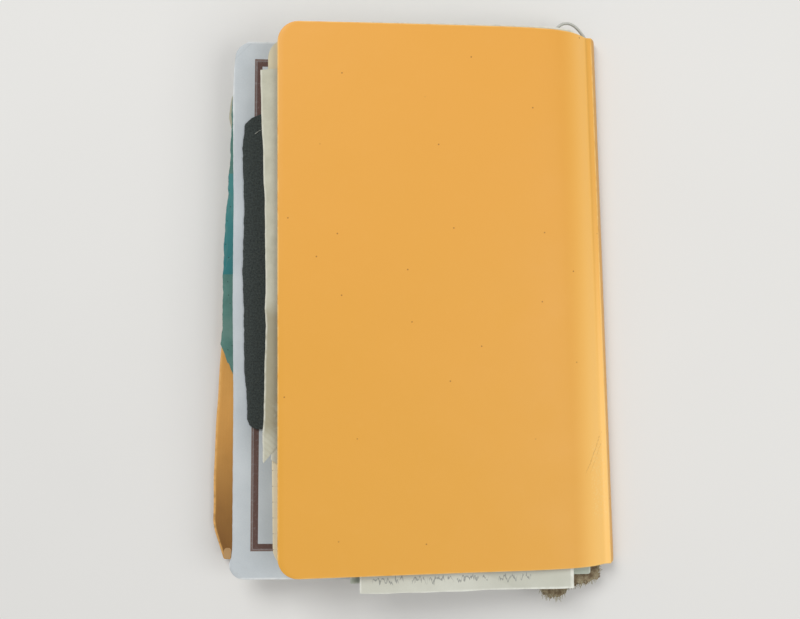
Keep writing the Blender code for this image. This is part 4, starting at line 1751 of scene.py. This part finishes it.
    @staticmethod
    def letter_curl(x: Array, y: Array) -> Array:
        """How the letter ripples, and how its tail edge curls up and down."""
        depth, reach, turns = 0.0007, 0.009, 90
        curl = depth * np.clip(1 - y / reach, 0, 1) ** 2 * np.sin(x * turns)
        return Wave(72, 0.00006, 0.05)(x, y) + curl

    def rag(self) -> None:
        """The frayed cloth by the spine."""
        width, height, out = 0.022, 0.0342, 0.0152
        ragged = Wave(81, 0.0004, 0.005, 4, 0.7)
        lower = bent([
            (0.0, 0.0085), (0.004, 0.0018), (0.010, 0.0008), (0.015, 0.0055), (width, 0.0064),
            (0.027, 0.0094),
        ])
        wider = bent([(0.0, 0.0046), (out - 0.0014, 0.0046), (out, 0.0), (height, 0.0)])
        cut = Cut(
            width,
            height,
            fore=lambda y: 0.0003 + ragged.along(y),
            spine=lambda y: wider(y) + ragged.along(y + 2),
            tail=lambda x: lower(x) + ragged.along(x),
        )
        look = Weave("rag_weave", (124, 106, 80), (72, 58, 40), (170, 156, 126), 0.62).dress()
        folds = Wave(82, 0.0002, 0.012, 3)
        sheet = Loose(
            "rag", "frayed_cloth", "cloth", cut, look, 0.00035,
            lift=lambda x, y: folds(x, y) * np.clip((out - y) / 0.006, 0, 1),
            columns=90, rows=110, lip=0.0001,
        )
        cloth = sheet.make()
        pale = Yarn("rag_threads", (196, 190, 164), (146, 136, 106), 0.5).dress()
        fringe = Strand.bundle("rag_fringe", self.fringe(sheet, lower, wider), 0.00017, 4)
        threads = add_piece("rag_fringe", fringe, pale)
        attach(threads, "frayed_cloth")
        self.plan_area(cut)

    @staticmethod
    def plan_area(cut: Cut) -> float:
        """Area of a cut, in square metres."""
        flat = cut.grid(60, 80)
        one, other = flat[1:, 1:] - flat[:-1, :-1], flat[1:, :-1] - flat[:-1, 1:]
        return float(np.abs(one[..., 0] * other[..., 1] - one[..., 1] * other[..., 0]).sum() / 2)

    @staticmethod
    def fringe(sheet: Loose, lower: Curve, wider: Curve) -> list[Array]:
        """Loose threads off the cloth's tail edge and its spine edge."""
        tail_root, spine_root, sway, kink, level = 0.001, 0.0008, 0.0008, 0.0002, (0.0001, 0.0004)
        draw = np.random.default_rng(83)
        paths = []
        share = np.linspace(0, 1, 9)
        for x in np.arange(0.0004, sheet.cut.width + 0.0046, 0.00042):
            length = draw.uniform(0.0005, 0.0020)
            swing = draw.uniform(-sway, sway) * share**2
            y = float(lower(np.array(x))) + tail_root - (length + tail_root) * share
            path = np.stack([x + swing + draw.uniform(-1, 1) * kink * np.sin(share * 9), y], 1)
            paths.append(sheet.place(path, draw.uniform(*level)))
        for y in np.arange(0.0100, 0.0142, 0.00040):
            length = draw.uniform(0.0004, 0.0014)
            x = sheet.cut.width + float(wider(np.array(y))) - spine_root + (length + spine_root) * share
            path = np.stack([x, y + draw.uniform(-sway, sway) * share**2], 1)
            paths.append(sheet.place(path, draw.uniform(*level)))
        return paths

    def make(self) -> None:
        """Makes every paper, from the lowest up."""
        self.envelope()
        self.tissue()
        self.slip()
        self.card()
        self.patch()
        self.sage()
        self.blue()
        self.letter()
        self.rag()


# ---------------------------------------------------------------- studio


@dataclass
class Studio:
    """The camera, the floor and the lights.

    Attributes:
        eye: Where the camera is, looking straight down.
        lens: Its focal length in millimetres.
        sensor: Its sensor's width.
        near: Nothing nearer than this is seen.
        floor_size: Side of the floor.
        floor_gap: How far the floor is under the notebook, so that the two don't shade each other.
        floor_tones: The floor's two colours.
        ambient: Strength of the light from all round.
        lights: Each light's name, place, side and power in watts.
    """

    eye: tuple[float, float, float] = (-0.017, -0.0035, 0.400)
    lens: float = 44.1
    sensor: float = 36.0
    floor_size: float = 3.0
    near: float = 0.01
    floor_gap: float = 0.0004
    floor_tones: tuple[Colour, Colour] = ((226, 225, 222), (230, 229, 226))
    ambient: float = 0.40
    lights: tuple[tuple[str, tuple[float, float, float], float, float], ...] = (
        ("key", (-0.45, 0.75, 1.15), 0.7, 10.0),
        ("fill", (0.85, -0.25, 1.1), 0.9, 7.0),
    )

    def camera(self) -> None:
        """Looks straight down on the notebook."""
        data = bpy.data.cameras.new("camera")
        data.lens = self.lens
        data.sensor_width = self.sensor
        data.clip_start = self.near
        camera = bpy.data.objects.new("camera", data)
        camera.location = self.eye
        bpy.context.scene.collection.objects.link(camera)
        bpy.context.scene.camera = camera

    def floor(self) -> None:
        """A plain pale floor."""
        bm = bmesh.new()
        bmesh.ops.create_grid(bm, x_segments=2, y_segments=2, size=self.floor_size / 2)
        mesh = bpy.data.meshes.new("floor")
        bm.to_mesh(mesh)
        bm.free()
        bench = Bench("floor", False)
        colour = bench.mix(bench.noise(120, 2), *self.floor_tones)
        mesh.materials.append(bench.finish(colour, 0.9, gloss=0.1))
        floor = bpy.data.objects.new("floor", mesh)
        floor.location.z = -self.floor_gap
        bpy.context.scene.collection.objects.link(floor)

    def softbox(self, name: str, place: tuple[float, float, float], size: float, power: float) -> None:
        """A square soft light that faces the notebook.

        Args:
            name: The light's name.
            place: Where it is.
            size: Of its side.
            power: In watts.
        """
        data = bpy.data.lights.new(name, "AREA")
        data.shape = "SQUARE"
        data.size = size
        data.energy = power
        light = bpy.data.objects.new(name, data)
        light.location = place
        light.rotation_euler = (-Vector(place)).to_track_quat("-Z", "Y").to_euler()
        bpy.context.scene.collection.objects.link(light)

    def make(self) -> None:
        """Makes everything in the studio."""
        self.camera()
        self.floor()
        for light in self.lights:
            self.softbox(*light)
        world = bpy.data.worlds.new("studio_world")
        world.use_nodes = True
        background = next(n for n in world.node_tree.nodes if n.type == "BACKGROUND")
        background.inputs["Color"].default_value = (1.0, 1.0, 1.0, 1.0)
        background.inputs["Strength"].default_value = self.ambient
        bpy.context.scene.world = world
        bpy.context.scene.view_settings.view_transform = "Standard"


def main() -> None:
    """Builds the studio and the notebook."""
    logging.basicConfig(level=logging.INFO, format="%(name)s: %(message)s")
    Studio().make()
    Bookmark().make()
    Covers().make()
    TextBlock().make()
    TuckedPapers().make()


if __name__ == "__main__":
    main()
